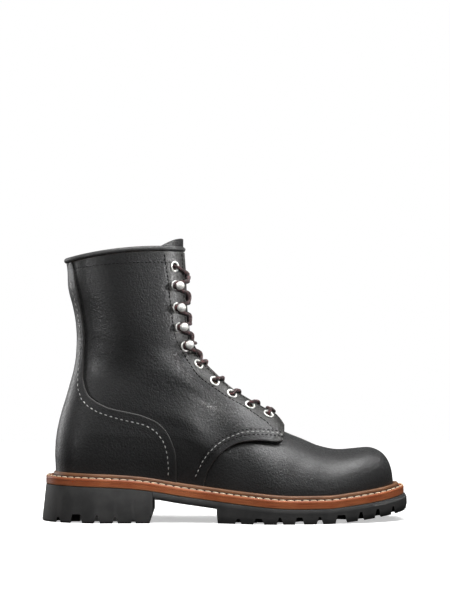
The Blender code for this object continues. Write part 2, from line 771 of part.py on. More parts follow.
def build_tongue():
    """A curved sheet under the facings, from the throat's foot to above the collar."""
    near = []
    far = []
    for v in spaced(TONGUE_FOOT_V, 1.0, TONGUE_ROWS):
        first = angle_at_width(-TONGUE_HALF_WIDTH, v)
        last = angle_at_width(TONGUE_HALF_WIDTH, v)
        across = spaced(first, last, TONGUE_COLUMNS)
        ridge = outer_face(math.pi, v).y
        depths = [TONGUE_DEPTH - tongue_crown(outer_face(a, v).y - ridge, v) for a in across]
        near.append([leather(a, v, -depth) for a, depth in zip(across, depths)])
        far.append([leather(a, v, -depth - TONGUE_THICK) for a, depth in zip(across, depths)])
    for grid in (near, far):
        falls = [TONGUE_TOP_FALL * abs(p.y) / TONGUE_HALF_WIDTH for p in grid[-1]]
        grid.append([p + Vector((0, 0, TONGUE_RISE * (1 - fall))) for p, fall in zip(grid[-1], falls)])
    slab("tongue", near, far, "black_leather")


def build_lace(places):
    """Two zigzags over the throat that cross between the facings, with a bar at the foot, as one solid."""
    heights = [p.z for p in THROAT]
    halves_of_gap = [p.half for p in THROAT]
    halves = []
    for first_side in (-1, 1):
        side = first_side
        crossing = QUARTER_STEP + LACE_CROSSING_LIFT + LACE_CROSSING_PART * first_side
        path = []
        for i, (_, v) in enumerate(places):
            y = side * (smooth_through(heights, halves_of_gap, HOLDERS[i].z) + LACE_PAST_EDGE)
            path.append(leather(angle_at_width(y, v), v, QUARTER_STEP + LACE_LIFT))
            if i + 1 < len(places):
                middle = (v + places[i + 1][1]) / 2
                path.append(leather(math.pi, middle, crossing))
            side = -side
        halves.append(path)
    middle = leather(math.pi, places[-1][1], QUARTER_STEP + LACE_CROSSING_LIFT)
    foot = [halves[0][-1], middle, halves[1][-1]]
    lace = tube("lace", halves[0], LACE_RADIUS, "lace_cord")
    boolean(lace, tube("lace_other_way", halves[1], LACE_RADIUS), "UNION")
    boolean(lace, tube("lace_foot_bar", foot, LACE_RADIUS * LACE_BAR_SHARE), "UNION")


def build_holders(upper):
    """Eyelets through the facings and ball hooks on them, alike on both sides."""
    bore = [
        TurnedPoint(0.0, BORE_HALF_LENGTH),
        TurnedPoint(EYELET_BORE, BORE_HALF_LENGTH),
        TurnedPoint(EYELET_BORE, -BORE_HALF_LENGTH),
        TurnedPoint(0.0, -BORE_HALF_LENGTH),
    ]
    ball = []
    for t in spaced(0, HOOK_BALL_END, HOOK_BALL_STEPS):
        height = HOOK_BALL_HEIGHT + HOOK_BALL_RADIUS * math.cos(t)
        ball.append(TurnedPoint(HOOK_BALL_RADIUS * math.sin(t), height))
    hook = ball + HOOK_FOOT
    places = []
    for side, word in ((-1, "outer"), (1, "inner")):
        counts = {"eyelet": 0, "hook": 0}
        for holder in HOLDERS:
            angle, v = locate(holder.x, holder.z, side)
            axis = face_normal(angle, v)
            place = leather(angle, v, QUARTER_STEP + HOLDER_SEAT)
            counts[holder.kind] += 1
            name = f"{holder.kind}_{word}_{counts[holder.kind]}"
            if holder.kind == "eyelet":
                turned(name, EYELET_PROFILE, place, axis, "nickel")
                boolean(upper, turned(f"{name}_bore", bore, place, axis), "DIFFERENCE")
            else:
                turned(name, hook, place, axis, "nickel")
            if side < 0:
                places.append((angle, v))
    return places


def cut_notches(block, name, notches, floor, reach):
    """Notches between the lugs, from each side of a tread block."""
    outline = sole_outline(reach, count=NOTCH_OUTLINE_POINTS)
    for notch in notches:
        edges = side_edges(outline, notch.x)
        for side, word, edge in ((-1, "outer", edges[0]), (1, "inner", edges[1])):
            ground = floor(notch.x)
            low = ground - TREAD_BELOW
            top = ground + notch.depth
            outline_xz = [
                (notch.x - notch.foot_width / 2, low),
                (notch.x + notch.foot_width / 2, low),
                (notch.x + notch.foot_width / 2, ground + NOTCH_FOOT),
                (notch.x + notch.top_width / 2, top),
                (notch.x - notch.top_width / 2, top),
                (notch.x - notch.foot_width / 2, ground + NOTCH_FOOT),
            ]
            half_depth = (LUG_REACH + NOTCH_OVERRUN) / 2
            cutter = side_prism(f"{name}_notch_{word}_{round(notch.x)}", outline_xz, half_depth)
            middle = edge - side * (LUG_REACH - NOTCH_OVERRUN) / 2
            cutter.location.y = middle * MM
            boolean(block, cutter, "DIFFERENCE", "MANIFOLD")


def lean_line(x):
    """The feather plan's centre line at x."""
    return CENTRE_Y + lean(along_foot(x))


def side_edges(outline, x):
    """The y of an outline's outer and inner edges at x."""
    outer = min((p for p in outline if p.y < lean_line(p.x)), key=lambda p: abs(p.x - x)).y
    inner = min((p for p in outline if p.y > lean_line(p.x)), key=lambda p: abs(p.x - x)).y
    return outer, inner


def cut_grooves(block, name, places, floor, reach):
    """Grooves across the middle of a tread, that part its inner lugs."""
    outline = sole_outline(reach - LUG_REACH, count=NOTCH_OUTLINE_POINTS)
    for x in places:
        outer, inner = side_edges(outline, x)
        left = x - GROOVE_WIDTH / 2
        right = x + GROOVE_WIDTH / 2
        top = floor(x) + CHANNEL_DEPTH
        shape = [(left, BELOW_Z), (right, BELOW_Z), (right - GROOVE_DRAFT, top), (left + GROOVE_DRAFT, top)]
        cutter = side_prism(f"{name}_groove_{round(x)}", shape, (inner - outer) / 2)
        cutter.location.y = (inner + outer) / 2 * MM
        boolean(block, cutter, "DIFFERENCE")


def cut_channel(block, name, reach, floor, first_x, last_x):
    """A groove round the tread, inside the edge lugs."""
    outside = reach - LUG_REACH + 1
    loops = []
    for offset in (outside, outside - CHANNEL_WIDTH):
        for rise in (-TREAD_BELOW, CHANNEL_DEPTH):
            loops.append([Vector((p.x, p.y, floor(p.x) + rise)) for p in sole_outline(offset)])
    outer_low, outer_high, inner_low, inner_high = loops
    count = len(outer_low)
    points = outer_low + outer_high + inner_high + inner_low
    faces = []
    for ring in range(4):
        for j in range(count):
            after = (j + 1) % count
            follow = (ring + 1) % 4
            faces.append((ring * count + j, ring * count + after, follow * count + after, follow * count + j))
    channel = solid(f"{name}_channel", points, faces)
    window = [(first_x, BELOW_Z), (last_x, BELOW_Z), (last_x, SOLE_ABOVE_Z), (first_x, SOLE_ABOVE_Z)]
    boolean(channel, side_prism(f"{name}_channel_length", window, HALF_DEPTH), "INTERSECT")
    boolean(block, channel, "DIFFERENCE")


def build_sole():
    """Midsole, welt, insole, outsole and heel, each a stack of loops round the last's plan."""
    layer = [sole_loop(p.reach, over_base(p.rise), 0.0, HEEL_REACH) for p in MIDSOLE_EDGE]
    loft("midsole", layer, "brown_leather")

    loops = [sole_loop(p.reach, over_base(p.rise), 0.0, HEEL_REACH) for p in WELT_FLANGE]
    loops += [sole_loop(p.reach, over_base(p.rise)) for p in WELT_RIM]
    welt = loft("welt", loops, "tan_leather")
    boolean(welt, form("welt_inside", GAP, below=OVERRUN, lifted=False), "DIFFERENCE")

    low = MIDSOLE_TOP + GAP
    inset = -VAMP_WALL - INSOLE_CLEAR
    board = [sole_loop(inset, over_base(low + rise)) for rise in (0.0, INSOLE_THICK)]
    loft("insole", board, "insole_leather")

    outsole = loft(
        "outsole",
        [
            sole_loop(OUTSOLE_REACH - 0.6, over_base(-OUTSOLE_LAYER), TOE_REACH),
            sole_loop(OUTSOLE_REACH - 0.2, over_base(-OUTSOLE_LAYER / 2), TOE_REACH),
            sole_loop(WELT_REACH, over_base(0.0), TOE_REACH / 2),
        ],
        "black_rubber",
    )
    def half_way(x):
        return (tread_z(x) + base_z(x)) / 2 - OUTSOLE_LAYER / 4

    tread = loft(
        "tread_block",
        [
            sole_loop(OUTSOLE_REACH - 0.3, tread_z, TOE_REACH - 1.5),
            sole_loop(OUTSOLE_REACH, half_way, TOE_REACH),
            sole_loop(OUTSOLE_REACH - 0.5, over_base(-OUTSOLE_LAYER / 2), TOE_REACH),
        ],
    )
    cut_grooves(tread, "tread", TREAD_GROOVES, tread_z, OUTSOLE_REACH)
    lean_x = TREAD_START_X - TREAD_FRONT_LEAN
    front = [
        (TREAD_START_X, BELOW_Z),
        (FRONT_X, BELOW_Z),
        (FRONT_X, SOLE_ABOVE_Z),
        (lean_x, SOLE_ABOVE_Z),
        (lean_x, TREAD_FRONT_TOP),
    ]
    boolean(tread, side_prism("tread_length", front, HALF_DEPTH), "INTERSECT")
    cut_notches(tread, "tread", TREAD_NOTCHES, tread_z, OUTSOLE_REACH)
    cut_channel(tread, "tread", OUTSOLE_REACH, tread_z, TREAD_START_X + LUG_REACH, FRONT_X)
    boolean(outsole, tread, "UNION")
    breast = HEEL_BREAST_X + GAP
    ahead = [(breast, BELOW_Z), (FRONT_X, BELOW_Z), (FRONT_X, SOLE_ABOVE_Z), (breast, SOLE_ABOVE_Z)]
    boolean(outsole, side_prism("outsole_length", ahead, HALF_DEPTH), "INTERSECT")

    heel = loft(
        "heel",
        [
            sole_loop(HEEL_FLARE - 0.4, lambda x: 0.0, 0.0, HEEL_REACH),
            sole_loop(HEEL_FLARE, lambda x: 2.0, 0.0, HEEL_REACH),
            sole_loop(WELT_REACH, over_base(0.0), 0.0, HEEL_REACH),
        ],
        "black_rubber",
    )
    step = [(HEEL_BREAST_X - back, z) for back, z in HEEL_STEP]
    behind = [(-FRONT_X, BELOW_Z)] + step + [(-FRONT_X, SOLE_ABOVE_Z)]
    boolean(heel, side_prism("heel_length", behind, HALF_DEPTH), "INTERSECT")
    cut_notches(heel, "heel", HEEL_NOTCHES, lambda x: 0.0, HEEL_FLARE)
    cut_grooves(heel, "heel", HEEL_GROOVES, lambda x: 0.0, HEEL_FLARE)
    cut_channel(heel, "heel", HEEL_FLARE, lambda x: 0.0, -FRONT_X, HEEL_BREAST_X - LUG_REACH)


def build_boot():
    build_sole()
    upper = build_upper()
    build_counter()
    build_binding()
    build_tongue()
    build_lace(build_holders(upper))


build_boot()
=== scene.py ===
# %% [markdown]
# # A right lace-up ankle boot in black leather
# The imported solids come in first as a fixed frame. Everything after that dresses them: finer panels, seams,
# stitches, laces and finishes. All sizes below are in millimetres and become metres when a mesh is made.

# %% Load the frame
import math

import bpy
import numpy as np
from mathutils import Matrix, Vector
from mathutils.kdtree import KDTree


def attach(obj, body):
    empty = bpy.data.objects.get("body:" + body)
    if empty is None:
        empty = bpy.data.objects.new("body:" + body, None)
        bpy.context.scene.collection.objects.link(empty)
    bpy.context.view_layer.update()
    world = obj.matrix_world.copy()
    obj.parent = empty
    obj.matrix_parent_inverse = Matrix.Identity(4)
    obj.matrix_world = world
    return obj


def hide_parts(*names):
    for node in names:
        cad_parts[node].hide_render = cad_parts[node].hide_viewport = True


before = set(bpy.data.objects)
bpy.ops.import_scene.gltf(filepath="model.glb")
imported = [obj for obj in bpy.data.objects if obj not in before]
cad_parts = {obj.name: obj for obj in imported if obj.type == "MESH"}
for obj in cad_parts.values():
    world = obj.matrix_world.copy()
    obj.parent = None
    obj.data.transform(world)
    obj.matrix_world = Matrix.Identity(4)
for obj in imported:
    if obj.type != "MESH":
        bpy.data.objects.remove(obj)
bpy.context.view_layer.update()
MM = 0.001

# %% [markdown]
# The photograph looks level at the outer side from far off, with the toe to the right. A long lens 2.4 m
# away gives the same flat perspective. The picture is 450 by 600, so the sensor is fitted to its height:
# 510 mm at the boot.

# %% Camera
CAMERA_AWAY = 2.4
CAMERA_HIGH = 0.1865
VIEW_HIGH = 0.51
SENSOR = 36.0
bpy.ops.object.select_all(action="DESELECT")
bpy.ops.object.camera_add(location=(0, -CAMERA_AWAY, CAMERA_HIGH), rotation=(math.pi / 2, 0, 0))
camera = bpy.context.object
camera.name = "studio_camera"
camera.data.sensor_fit = "VERTICAL"
camera.data.sensor_height = SENSOR
camera.data.lens = SENSOR * CAMERA_AWAY / VIEW_HIGH
camera.data.clip_end = 20
bpy.context.scene.camera = camera
print("lens:", round(camera.data.lens, 1))

# %% [markdown]
# A product photograph on white has one broad light overhead and weaker ones at the sides. On black leather
# the lights are seen as their own soft reflections, so their sizes matter more than their power. Four small
# ones behind grids reach only a part of the boot each: the shaft from both sides, the instep and the
# facings.

# %% Lights
def softbox(name, place, aim, width, height, watts, spread=180):
    """A rectangular light that faces a point. A grid in front of it narrows the spread, in degrees."""
    bpy.ops.object.light_add(type="AREA", location=place)
    lamp = bpy.context.object
    lamp.name = name
    lamp.data.shape = "RECTANGLE"
    lamp.data.size = width
    lamp.data.size_y = height
    lamp.data.energy = watts
    lamp.data.spread = math.radians(spread)
    lamp.rotation_euler = (Vector(aim) - Vector(place)).to_track_quat("-Z", "Y").to_euler()


softbox("overhead_light", (0.15, -0.42, 1.5), (0, 0, 0.05), 1.3, 0.9, 35)
softbox("front_light", (0.9, -1.7, 1.0), (-0.03, 0, 0.14), 0.2, 0.2, 0.045, 6)
softbox("heel_light", (-1.5, -0.75, 0.30), (-0.13, 0, 0.205), 0.35, 0.2, 0.062, 8)
softbox("toe_light", (1.5, -0.25, 0.36), (-0.06, 0, 0.21), 0.5, 0.16, 0.16, 8)
softbox("instep_light", (0.95, 0.2, 1.1), (-0.02, 0, 0.11), 0.35, 0.35, 0.11, 14)
softbox("back_light", (-1.3, 1.0, 0.4), (-0.1, 0, 0.14), 0.4, 0.8, 6)
scene_view = bpy.context.scene.view_settings
scene_view.view_transform = "Standard"
scene_view.look = "None"

# %% [markdown]
# Materials are written as sums: a small class wraps a node's output, so that adding or multiplying two of
# them adds the Math node between them. Every other node comes from one method, settings first and then
# inputs.

# %% Shader maths
class Wire:
    """A node's output that takes part in sums."""

    def __init__(self, nodes, socket):
        self.nodes = nodes
        self.socket = socket

    def math(self, operation, first, second):
        return self.nodes.node("ShaderNodeMath", {"operation": operation}, {0: first, 1: second})

    def __add__(self, other):
        return self.math("ADD", self, other)

    def __radd__(self, other):
        return self.math("ADD", other, self)

    def __sub__(self, other):
        return self.math("SUBTRACT", self, other)

    def __rsub__(self, other):
        return self.math("SUBTRACT", other, self)

    def __mul__(self, other):
        return self.math("MULTIPLY", self, other)

    def __rmul__(self, other):
        return self.math("MULTIPLY", other, self)

    def sine(self):
        return self.nodes.node("ShaderNodeMath", {"operation": "SINE"}, {0: self})

    def above(self, low, high):
        """0 at low, 1 at high, smooth between."""
        sockets = {"Value": self, "From Min": low, "From Max": high}
        return self.nodes.node("ShaderNodeMapRange", {"interpolation_type": "SMOOTHSTEP"}, sockets, "Result")


class Nodes:
    """The nodes of one material or of the world."""

    def __init__(self, tree):
        self.tree = tree

    def node(self, kind, settings, sockets, output=0):
        """Any node: its type, its settings, and the values or links of its sockets by name or place."""
        made = self.tree.nodes.new(kind)
        for key, value in settings.items():
            setattr(made, key, value)
        for key, value in sockets.items():
            if isinstance(value, Wire):
                self.tree.links.new(value.socket, made.inputs[key])
            else:
                made.inputs[key].default_value = value
        return Wire(self, made.outputs[output])


class Finish(Nodes):
    """A material whose surface is one Principled shader."""

    def __init__(self, name, **constants):
        self.material = bpy.data.materials.new(name)
        self.material.use_nodes = True
        super().__init__(self.material.node_tree)
        self.shader = self.tree.nodes["Principled BSDF"]
        self.place = self.node("ShaderNodeTexCoord", {}, {}, "Object")
        for key, value in constants.items():
            self.shader.inputs[key.replace("_", " ")].default_value = value

    def read(self, name):
        """A number kept on the mesh's points."""
        return self.node("ShaderNodeAttribute", {"attribute_name": name}, {}, "Fac")

    def noise(self, scale, detail=3.0, roughness=0.5, vector=None):
        sockets = {"Vector": vector or self.place, "Scale": scale, "Detail": detail, "Roughness": roughness}
        return self.node("ShaderNodeTexNoise", {}, sockets, "Fac")

    def cells(self, scale, feature="F1", vector=None):
        sockets = {"Vector": vector or self.place, "Scale": scale}
        return self.node("ShaderNodeTexVoronoi", {"feature": feature}, sockets, "Distance")

    def stretched(self, x, y, z):
        """The piece's own coordinates, scaled along each axis."""
        return self.node("ShaderNodeMapping", {}, {"Vector": self.place, "Scale": (x, y, z)})

    def blend(self, factor, first, second):
        """Two colours mixed."""
        first, second = (c if isinstance(c, Wire) else (*c, 1) for c in (first, second))
        return self.node("ShaderNodeMix", {"data_type": "RGBA"}, {0: factor, 6: first, 7: second}, 2)

    def bump(self, height, strength, distance, under=None):
        sockets = {"Height": height, "Strength": strength, "Distance": distance}
        if under is not None:
            sockets["Normal"] = under
        return self.node("ShaderNodeBump", {}, sockets, "Normal")

    def feed(self, **links):
        """Links sums to the shader's sockets."""
        for key, value in links.items():
            self.tree.links.new(value.socket, self.shader.inputs[key.replace("_", " ")])
        return self


# %% [markdown]
# The photograph's ground is pure white right to its edges, and dark leather in front of it stays dark. So
# the world is white where the camera looks straight at it, and where it lights the boot it is dim, with
# more from above than from below. The floor glows a little, so that only the boot's own shadow darkens it,
# and it isn't mirrored in the leather.

# %% World and floor
WORLD_LOW, WORLD_HIGH, WORLD_SEEN = 0.04, 0.33, 1.0
world = bpy.data.worlds.new("studio_white")
bpy.context.scene.world = world
world.use_nodes = True
sky = Nodes(world.node_tree)
seen = sky.node("ShaderNodeLightPath", {}, {}, "Is Camera Ray")
backdrop = world.node_tree.nodes["Background"]
backdrop.inputs["Color"].default_value = (1, 1, 1, 1)
way = sky.node("ShaderNodeTexCoord", {}, {}, "Generated")
upward = sky.node("ShaderNodeSeparateXYZ", {}, {0: way}, "Z").above(-0.2, 0.8)
strength = seen * WORLD_SEEN + (1 - seen) * (WORLD_LOW + (WORLD_HIGH - WORLD_LOW) * upward)
world.node_tree.links.new(strength.socket, backdrop.inputs["Strength"])

bpy.ops.object.select_all(action="DESELECT")
bpy.ops.mesh.primitive_plane_add(size=2.6)
floor = bpy.context.object
floor.name = "studio_floor"
bpy.ops.object.mode_set(mode="EDIT")
bpy.ops.mesh.subdivide(number_cuts=6)
bpy.ops.object.mode_set(mode="OBJECT")
white = Finish(
    "floor_white", Roughness=0.9, Specular_IOR_Level=0.05, Emission_Color=(1, 1, 1, 1), Emission_Strength=0.5,
)
white.feed(Base_Color=white.blend(white.noise(3.0), (0.84, 0.84, 0.84), (0.86, 0.86, 0.86)))
floor.data.materials.append(white.material)
floor.visible_glossy = False
floor.visible_diffuse = False
print("floor faces:", len(floor.data.polygons))

# %% [markdown]
# A boot is made over a last, a foot-shaped block. Here the last is a stack of closed sections from the
# sole's edge to the collar, and over the forefoot each is moved out to a dome with the toe's, vamp's and
# instep's height. These are the same tables as in the solids, so panels made from them lie where the solids
# are.

# %% The last's tables
BASE_LINE = dict(x=(-156, -96, -70, -34, 14, 61, 84, 107, 132, 156),
                 z=(31.0, 29.3, 27.4, 21.7, 15.7, 12.2, 12.2, 14.4, 17.9, 23.0))
SECTIONS = dict(
    back_x=(-141, -141.2, -141.6, -141.2, -140.2, -138.4, -135.6, -132, -128.8, -125.8, -123.8, -123.2, -124,
            -126.2, -129.6, -132.4, -134.8),
    back_z=(35.7, 47, 56, 64.5, 73, 82.5, 93, 104.5, 116, 127.5, 140, 154, 167, 180, 193, 205.5, 217),
    front_x=(143.2, 142.8, 138.8, 130.2, 115.5, 98, 76, 52.4, 49.8, 44.8, 31.6, 2.6, -19.4, -28.9, -31, -31.8,
             -33.2),
    front_z=(26, 39, 51, 58.8, 60.8, 57.8, 63.4, 74, 80.4, 89.4, 96.4, 116.2, 138.2, 161, 184, 206, 226.8),
    bed=(1, 1, 0.96, 0.9, 0.82, 0.68, 0.48, 0.3, 0.16, 0.06, 0, 0, 0, 0, 0, 0, 0),
    crown=(0, 0, 0, 0, 0, 0, 0, 0, 0, 0, 0, 0, 0, 0, 1, 2, 4),
    heel=(32.5, 33, 33.6, 33.8, 33.8, 33.4, 32.8, 32.4, 32.4, 32.4, 32.8, 33.6, 34.6, 36, 37.4, 38.2, 38.8),
    waist=(30.5, 32, 33.5, 34.6, 35, 35, 34.4, 34, 33.6, 33.4, 33.4, 33.8, 34.8, 36.2, 37.4, 38.2, 38.8),
    ball=(47, 48.2, 48, 46.4, 44, 40.8, 38, 35.5, 34, 33, 32.4, 32.6, 34, 35.8, 37.2, 38, 38.6),
    heel_round=(0.14, 0.14, 0.145, 0.15, 0.16, 0.18, 0.21, 0.25, 0.29, 0.33, 0.37, 0.42, 0.46, 0.5, 0.5, 0.5,
                0.5),
    toe_round=(0.3, 0.3, 0.3, 0.3, 0.31, 0.33, 0.35, 0.36, 0.38, 0.4, 0.43, 0.46, 0.5, 0.5, 0.5, 0.5, 0.5),
    nose=(2.4, 2.4, 2.4, 2.3, 2.2, 2.2, 2.1, 2.1, 2.1, 2.1, 2.1, 2.1, 2, 2, 2, 2, 2),
)
DOMES = dict(
    x=(-45, -19, 3, 31, 41, 46, 49, 52, 62, 82, 100, 119, 132, 143.2),
    crest=(130, 104, 82.5, 66, 61.6, 59.4, 58.2, 57, 53, 45.2, 41.4, 40.6, 38.2, 36.5),
    lift=(6, 9.5, 11.5, 12.5, 12.5, 10, 6, 0.5, 0, 0, 0, 0, 0, 0),
    fullness=(1.9, 1.91, 1.95, 2.01, 2.04, 2.055, 2.065, 2.075, 2.1, 2.17, 2.25, 2.34, 2.39, 2.4),
)
HEEL_AT, WAIST_AT, BALL_AT = 0.17, 0.42, {-1: 0.66, 1: 0.72}
WAIST_HOLLOW = {-1: 0.0, 1: 0.08}
CENTRE_Y = -0.35
DOME_START_X, DOME_WHOLE_X, DOME_TOP_V, DOME_FADE_V = -45.0, 18.0, 0.8, 0.2
TOE_LENGTH, TOE_POWER, LIFT_POWER, SIDE_SWELL = 24.0, 2.6, 8, 0.035
TOE_SWING, TOE_SWING_FROM = 9.0, 0.55
BALL_SWING, BALL_SWING_AT, BALL_SWING_SPREAD = 3.0, 0.62, 0.2
MIDSOLE_TOP, RIM_TOP, GAP = 4.4, 11.0, 0.3
WALL, QUARTER_STEP, COUNTER_STEP = 1.8, 1.2, 2.8
ALMOST_TOP = 0.9999


# %% The last's shape
def through(xs, ys, x):
    """A curve through the points that never overshoots them. Each column of ys may hold its own curve."""
    xs = np.asarray(xs, float)
    ys = np.asarray(ys, float)
    x = np.clip(np.asarray(x, float), xs[0], xs[-1])
    ys = np.broadcast_to(ys.reshape(len(xs), -1), (len(xs), x.size))
    step = np.diff(xs)[:, None]
    rise = np.diff(ys, axis=0) / step
    slope = np.vstack([rise[:1], np.zeros((len(xs) - 2, x.size)), rise[-1:]])
    before, after = 2 * step[1:] + step[:-1], step[1:] + 2 * step[:-1]
    same = rise[:-1] * rise[1:] > 0
    with np.errstate(divide="ignore", invalid="ignore"):
        mean = (before + after) / (before / rise[:-1] + after / rise[1:])
    slope[1:-1] = np.where(same, mean, 0)
    flat = x.ravel()
    i = np.clip(np.searchsorted(xs, flat, "right") - 1, 0, len(xs) - 2)
    pick = np.arange(x.size)
    t = (flat - xs[i]) / step[i, 0]
    held = (1 + 2 * t) * (1 - t) ** 2 * ys[i, pick] + t * t * (3 - 2 * t) * ys[i + 1, pick]
    turned = t * (1 - t) ** 2 * slope[i, pick] - t * t * (1 - t) * slope[i + 1, pick]
    return (held + turned * step[i, 0]).reshape(x.shape)


def ease(t):
    t = np.clip(t, 0, 1)
    return t * t * (3 - 2 * t)


def rounded_end(t, power):
    return (1 - (1 - np.clip(t, 0, 1)) ** power) ** (1 / power)


def base_z(x):
    return through(BASE_LINE["x"], BASE_LINE["z"], x)


def feather_z(x):
    return base_z(x) + MIDSOLE_TOP + GAP


def lean(u):
    """How far the foot's centre line lies to the inner side."""
    toe = TOE_SWING * ease((u - TOE_SWING_FROM) / (1 - TOE_SWING_FROM))
    return toe - BALL_SWING * np.exp(-(((u - BALL_SWING_AT) / BALL_SWING_SPREAD) ** 2))


def half_width(row, u, side):
    half = np.zeros_like(u)
    for s in (-1, 1):
        on = side == s
        waist = row["waist"][on] * (1 - WAIST_HOLLOW[s] * row["bed"][on])
        widths = np.array([row["heel"][on], row["heel"][on], waist, row["ball"][on], row["ball"][on]])
        half[on] = through([0, HEEL_AT, WAIST_AT, BALL_AT[s], 1], widths, u[on])
    half = half * rounded_end(u / row["heel_round"], 2.0)
    return half * rounded_end((1 - u) / row["toe_round"], row["nose"])


def along_foot(x):
    return (x - SECTIONS["back_x"][0]) / (SECTIONS["front_x"][0] - SECTIONS["back_x"][0])


def outer_face(angle, v, lifted=True):
    """Points on the upper's outer face. angle runs from the back over the outer side to the front and on."""
    angle, v = (part.astype(float).ravel() for part in np.broadcast_arrays(angle, v))
    v = np.clip(v, 0, 1)
    rows = len(SECTIONS["bed"])
    row = {key: through(range(rows), column, v * (rows - 1)) for key, column in SECTIONS.items()}
    turn = angle % (2 * math.pi)
    side = np.where(turn < math.pi, -1, 1)
    u = (1 - np.cos(turn)) / 2
    x = row["back_x"] + (row["front_x"] - row["back_x"]) * u
    ends = feather_z(row["back_x"]) * (1 - u) + feather_z(row["front_x"]) * u
    z = row["back_z"] * (1 - u) + row["front_z"] * u + row["bed"] * (feather_z(x) - ends)
    z += row["crown"] * 4 * u * (1 - u)
    half = half_width(row, u, side)
    middle = lean(u) * row["bed"]
    share = ease((x - DOME_START_X) / (DOME_WHOLE_X - DOME_START_X)) * ease((DOME_TOP_V - v) / DOME_FADE_V)
    crest, lift, power = (through(DOMES["x"], DOMES[key], x) for key in ("crest", "lift", "fullness"))
    high = np.maximum(0.01, crest * rounded_end((SECTIONS["front_x"][0] - x) / TOE_LENGTH, TOE_POWER))
    foot = {key: np.full_like(x, column[0]) for key, column in SECTIONS.items()}
    wide = np.maximum(0.01, half_width(foot, np.clip(along_foot(x), 0, 1), side))
    tilt = np.arctan2(np.maximum(0, z - feather_z(x)), half)
    reach = ((np.cos(tilt) / wide) ** power + (np.sin(tilt) / high) ** power) ** (-1 / power)
    if lifted:
        reach += lift * np.sin(tilt) ** LIFT_POWER
    half += (reach * np.cos(tilt) * (1 + SIDE_SWELL * np.sin(2 * tilt)) - half) * share
    z += (feather_z(x) + reach * np.sin(tilt) - z) * share
    middle += (lean(along_foot(x)) - middle) * share
    return np.stack([x, CENTRE_Y + middle + side * half, z], axis=-1)


def face_normal(angle, v, lifted=True, step=0.012):
    """Outward directions of the outer face."""
    angle, v = np.broadcast_arrays(angle, v)
    around = outer_face(angle + step, v, lifted) - outer_face(angle - step, v, lifted)
    up = outer_face(angle, v + step, lifted) - outer_face(angle, v - step, lifted)
    out = np.cross(around, up)
    return out / np.maximum(1e-9, np.linalg.norm(out, axis=-1, keepdims=True))


def locate(x, z, side, lifted=True):
    """The angles and heights v of the outer face at places in the side view."""
    a, v = np.meshgrid(np.linspace(0.02, math.pi - 0.02, 90), np.linspace(0, 1, 90))
    a = a.ravel() if side < 0 else 2 * math.pi - a.ravel()
    v = v.ravel()
    seen = outer_face(a, v, lifted)[:, (0, 2)]
    want = np.stack([x, z], axis=-1)
    best = np.array([np.argmin(((seen - w) ** 2).sum(axis=1)) for w in want])
    a, v = a[best], v[best]
    for _ in range(12):
        here = outer_face(a, v, lifted)[:, (0, 2)]
        by_a = (outer_face(a + 1e-4, v, lifted)[:, (0, 2)] - here) / 1e-4
        by_v = (outer_face(a, v + 1e-4, lifted)[:, (0, 2)] - here) / 1e-4
        miss = want - here
        area = by_a[:, 0] * by_v[:, 1] - by_a[:, 1] * by_v[:, 0]
        area = np.where(np.abs(area) < 1e-3, 1e-3, area)
        a = a + np.clip((miss[:, 0] * by_v[:, 1] - miss[:, 1] * by_v[:, 0]) / area, -0.05, 0.05)
        rise = (by_a[:, 0] * miss[:, 1] - by_a[:, 1] * miss[:, 0]) / area
        v = np.clip(v + np.clip(rise, -0.03, 0.03), 0, ALMOST_TOP)
    return a, v


def leather(angle, v, offset, lifted=True):
    """Places a little outside or inside the last's face."""
    offset = np.asarray(offset, float).reshape(-1, 1)
    return outer_face(angle, v, lifted) + face_normal(angle, v, lifted) * offset


probe = outer_face(np.array([math.pi / 2, math.pi]), np.array([0.3, 0.3]))
print("last at the ball and at the toe:", probe.round(1).tolist())

# %% [markdown]
# Each leather panel is a sheet over the last with a cut edge. The sheet starts as a fine grid of the last's
# face and is cut where the edge crosses it, as a knife would: points near the line move onto it, and new
# ones are set where the line crosses the grid. Round the cut a narrow strip turns over and down, so the
# leather shows its thickness.

# %% Tools for panels
AROUND, ROWS = 320, 170
NEAR_CUT = 0.3
FAR_FROM_CUT = 60.0


def grid_angles(count):
    """Angles with even steps along the boot's sides, not bunched at the toe and heel."""
    fine = np.linspace(0, 2 * math.pi, 4001)
    weight = np.sqrt(np.sin(fine) ** 2 + 0.16)
    travelled = np.concatenate([[0], np.cumsum((weight[1:] + weight[:-1]) / 2)])
    return np.interp(np.arange(count) / count, travelled / travelled[-1], fine)


def nearest(points, line):
    """Each point's distance to a line of samples."""
    tree = KDTree(len(line))
    for i, place in enumerate(line):
        tree.insert(place, i)
    tree.balance()
    return np.array([tree.find(place)[2] for place in points])


def new_object(name, points, faces):
    """An object with a mesh from arrays in millimetres."""
    mesh = bpy.data.meshes.new(name)
    mesh.from_pydata((np.asarray(points, float) * MM).tolist(), [], [tuple(int(i) for i in f) for f in faces])
    thing = bpy.data.objects.new(name, mesh)
    bpy.context.scene.collection.objects.link(thing)
    return thing


def mesh_object(name, points, faces, finish, floats=None, smooth=True):
    """A piece with float values on its points that rides on the boot."""
    thing = new_object(name, points, faces)
    mesh = thing.data
    for key, values in (floats or {}).items():
        mesh.attributes.new(key, "FLOAT", "POINT").data.foreach_set("value", np.asarray(values, np.float32))
    mesh.materials.append(finish.material)
    if smooth:
        mesh.shade_smooth()
    mesh.update()
    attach(thing, "root")
    return thing


def only(thing):
    """Selects one object and makes it active."""
    bpy.ops.object.select_all(action="DESELECT")
    thing.select_set(True)
    bpy.context.view_layer.objects.active = thing


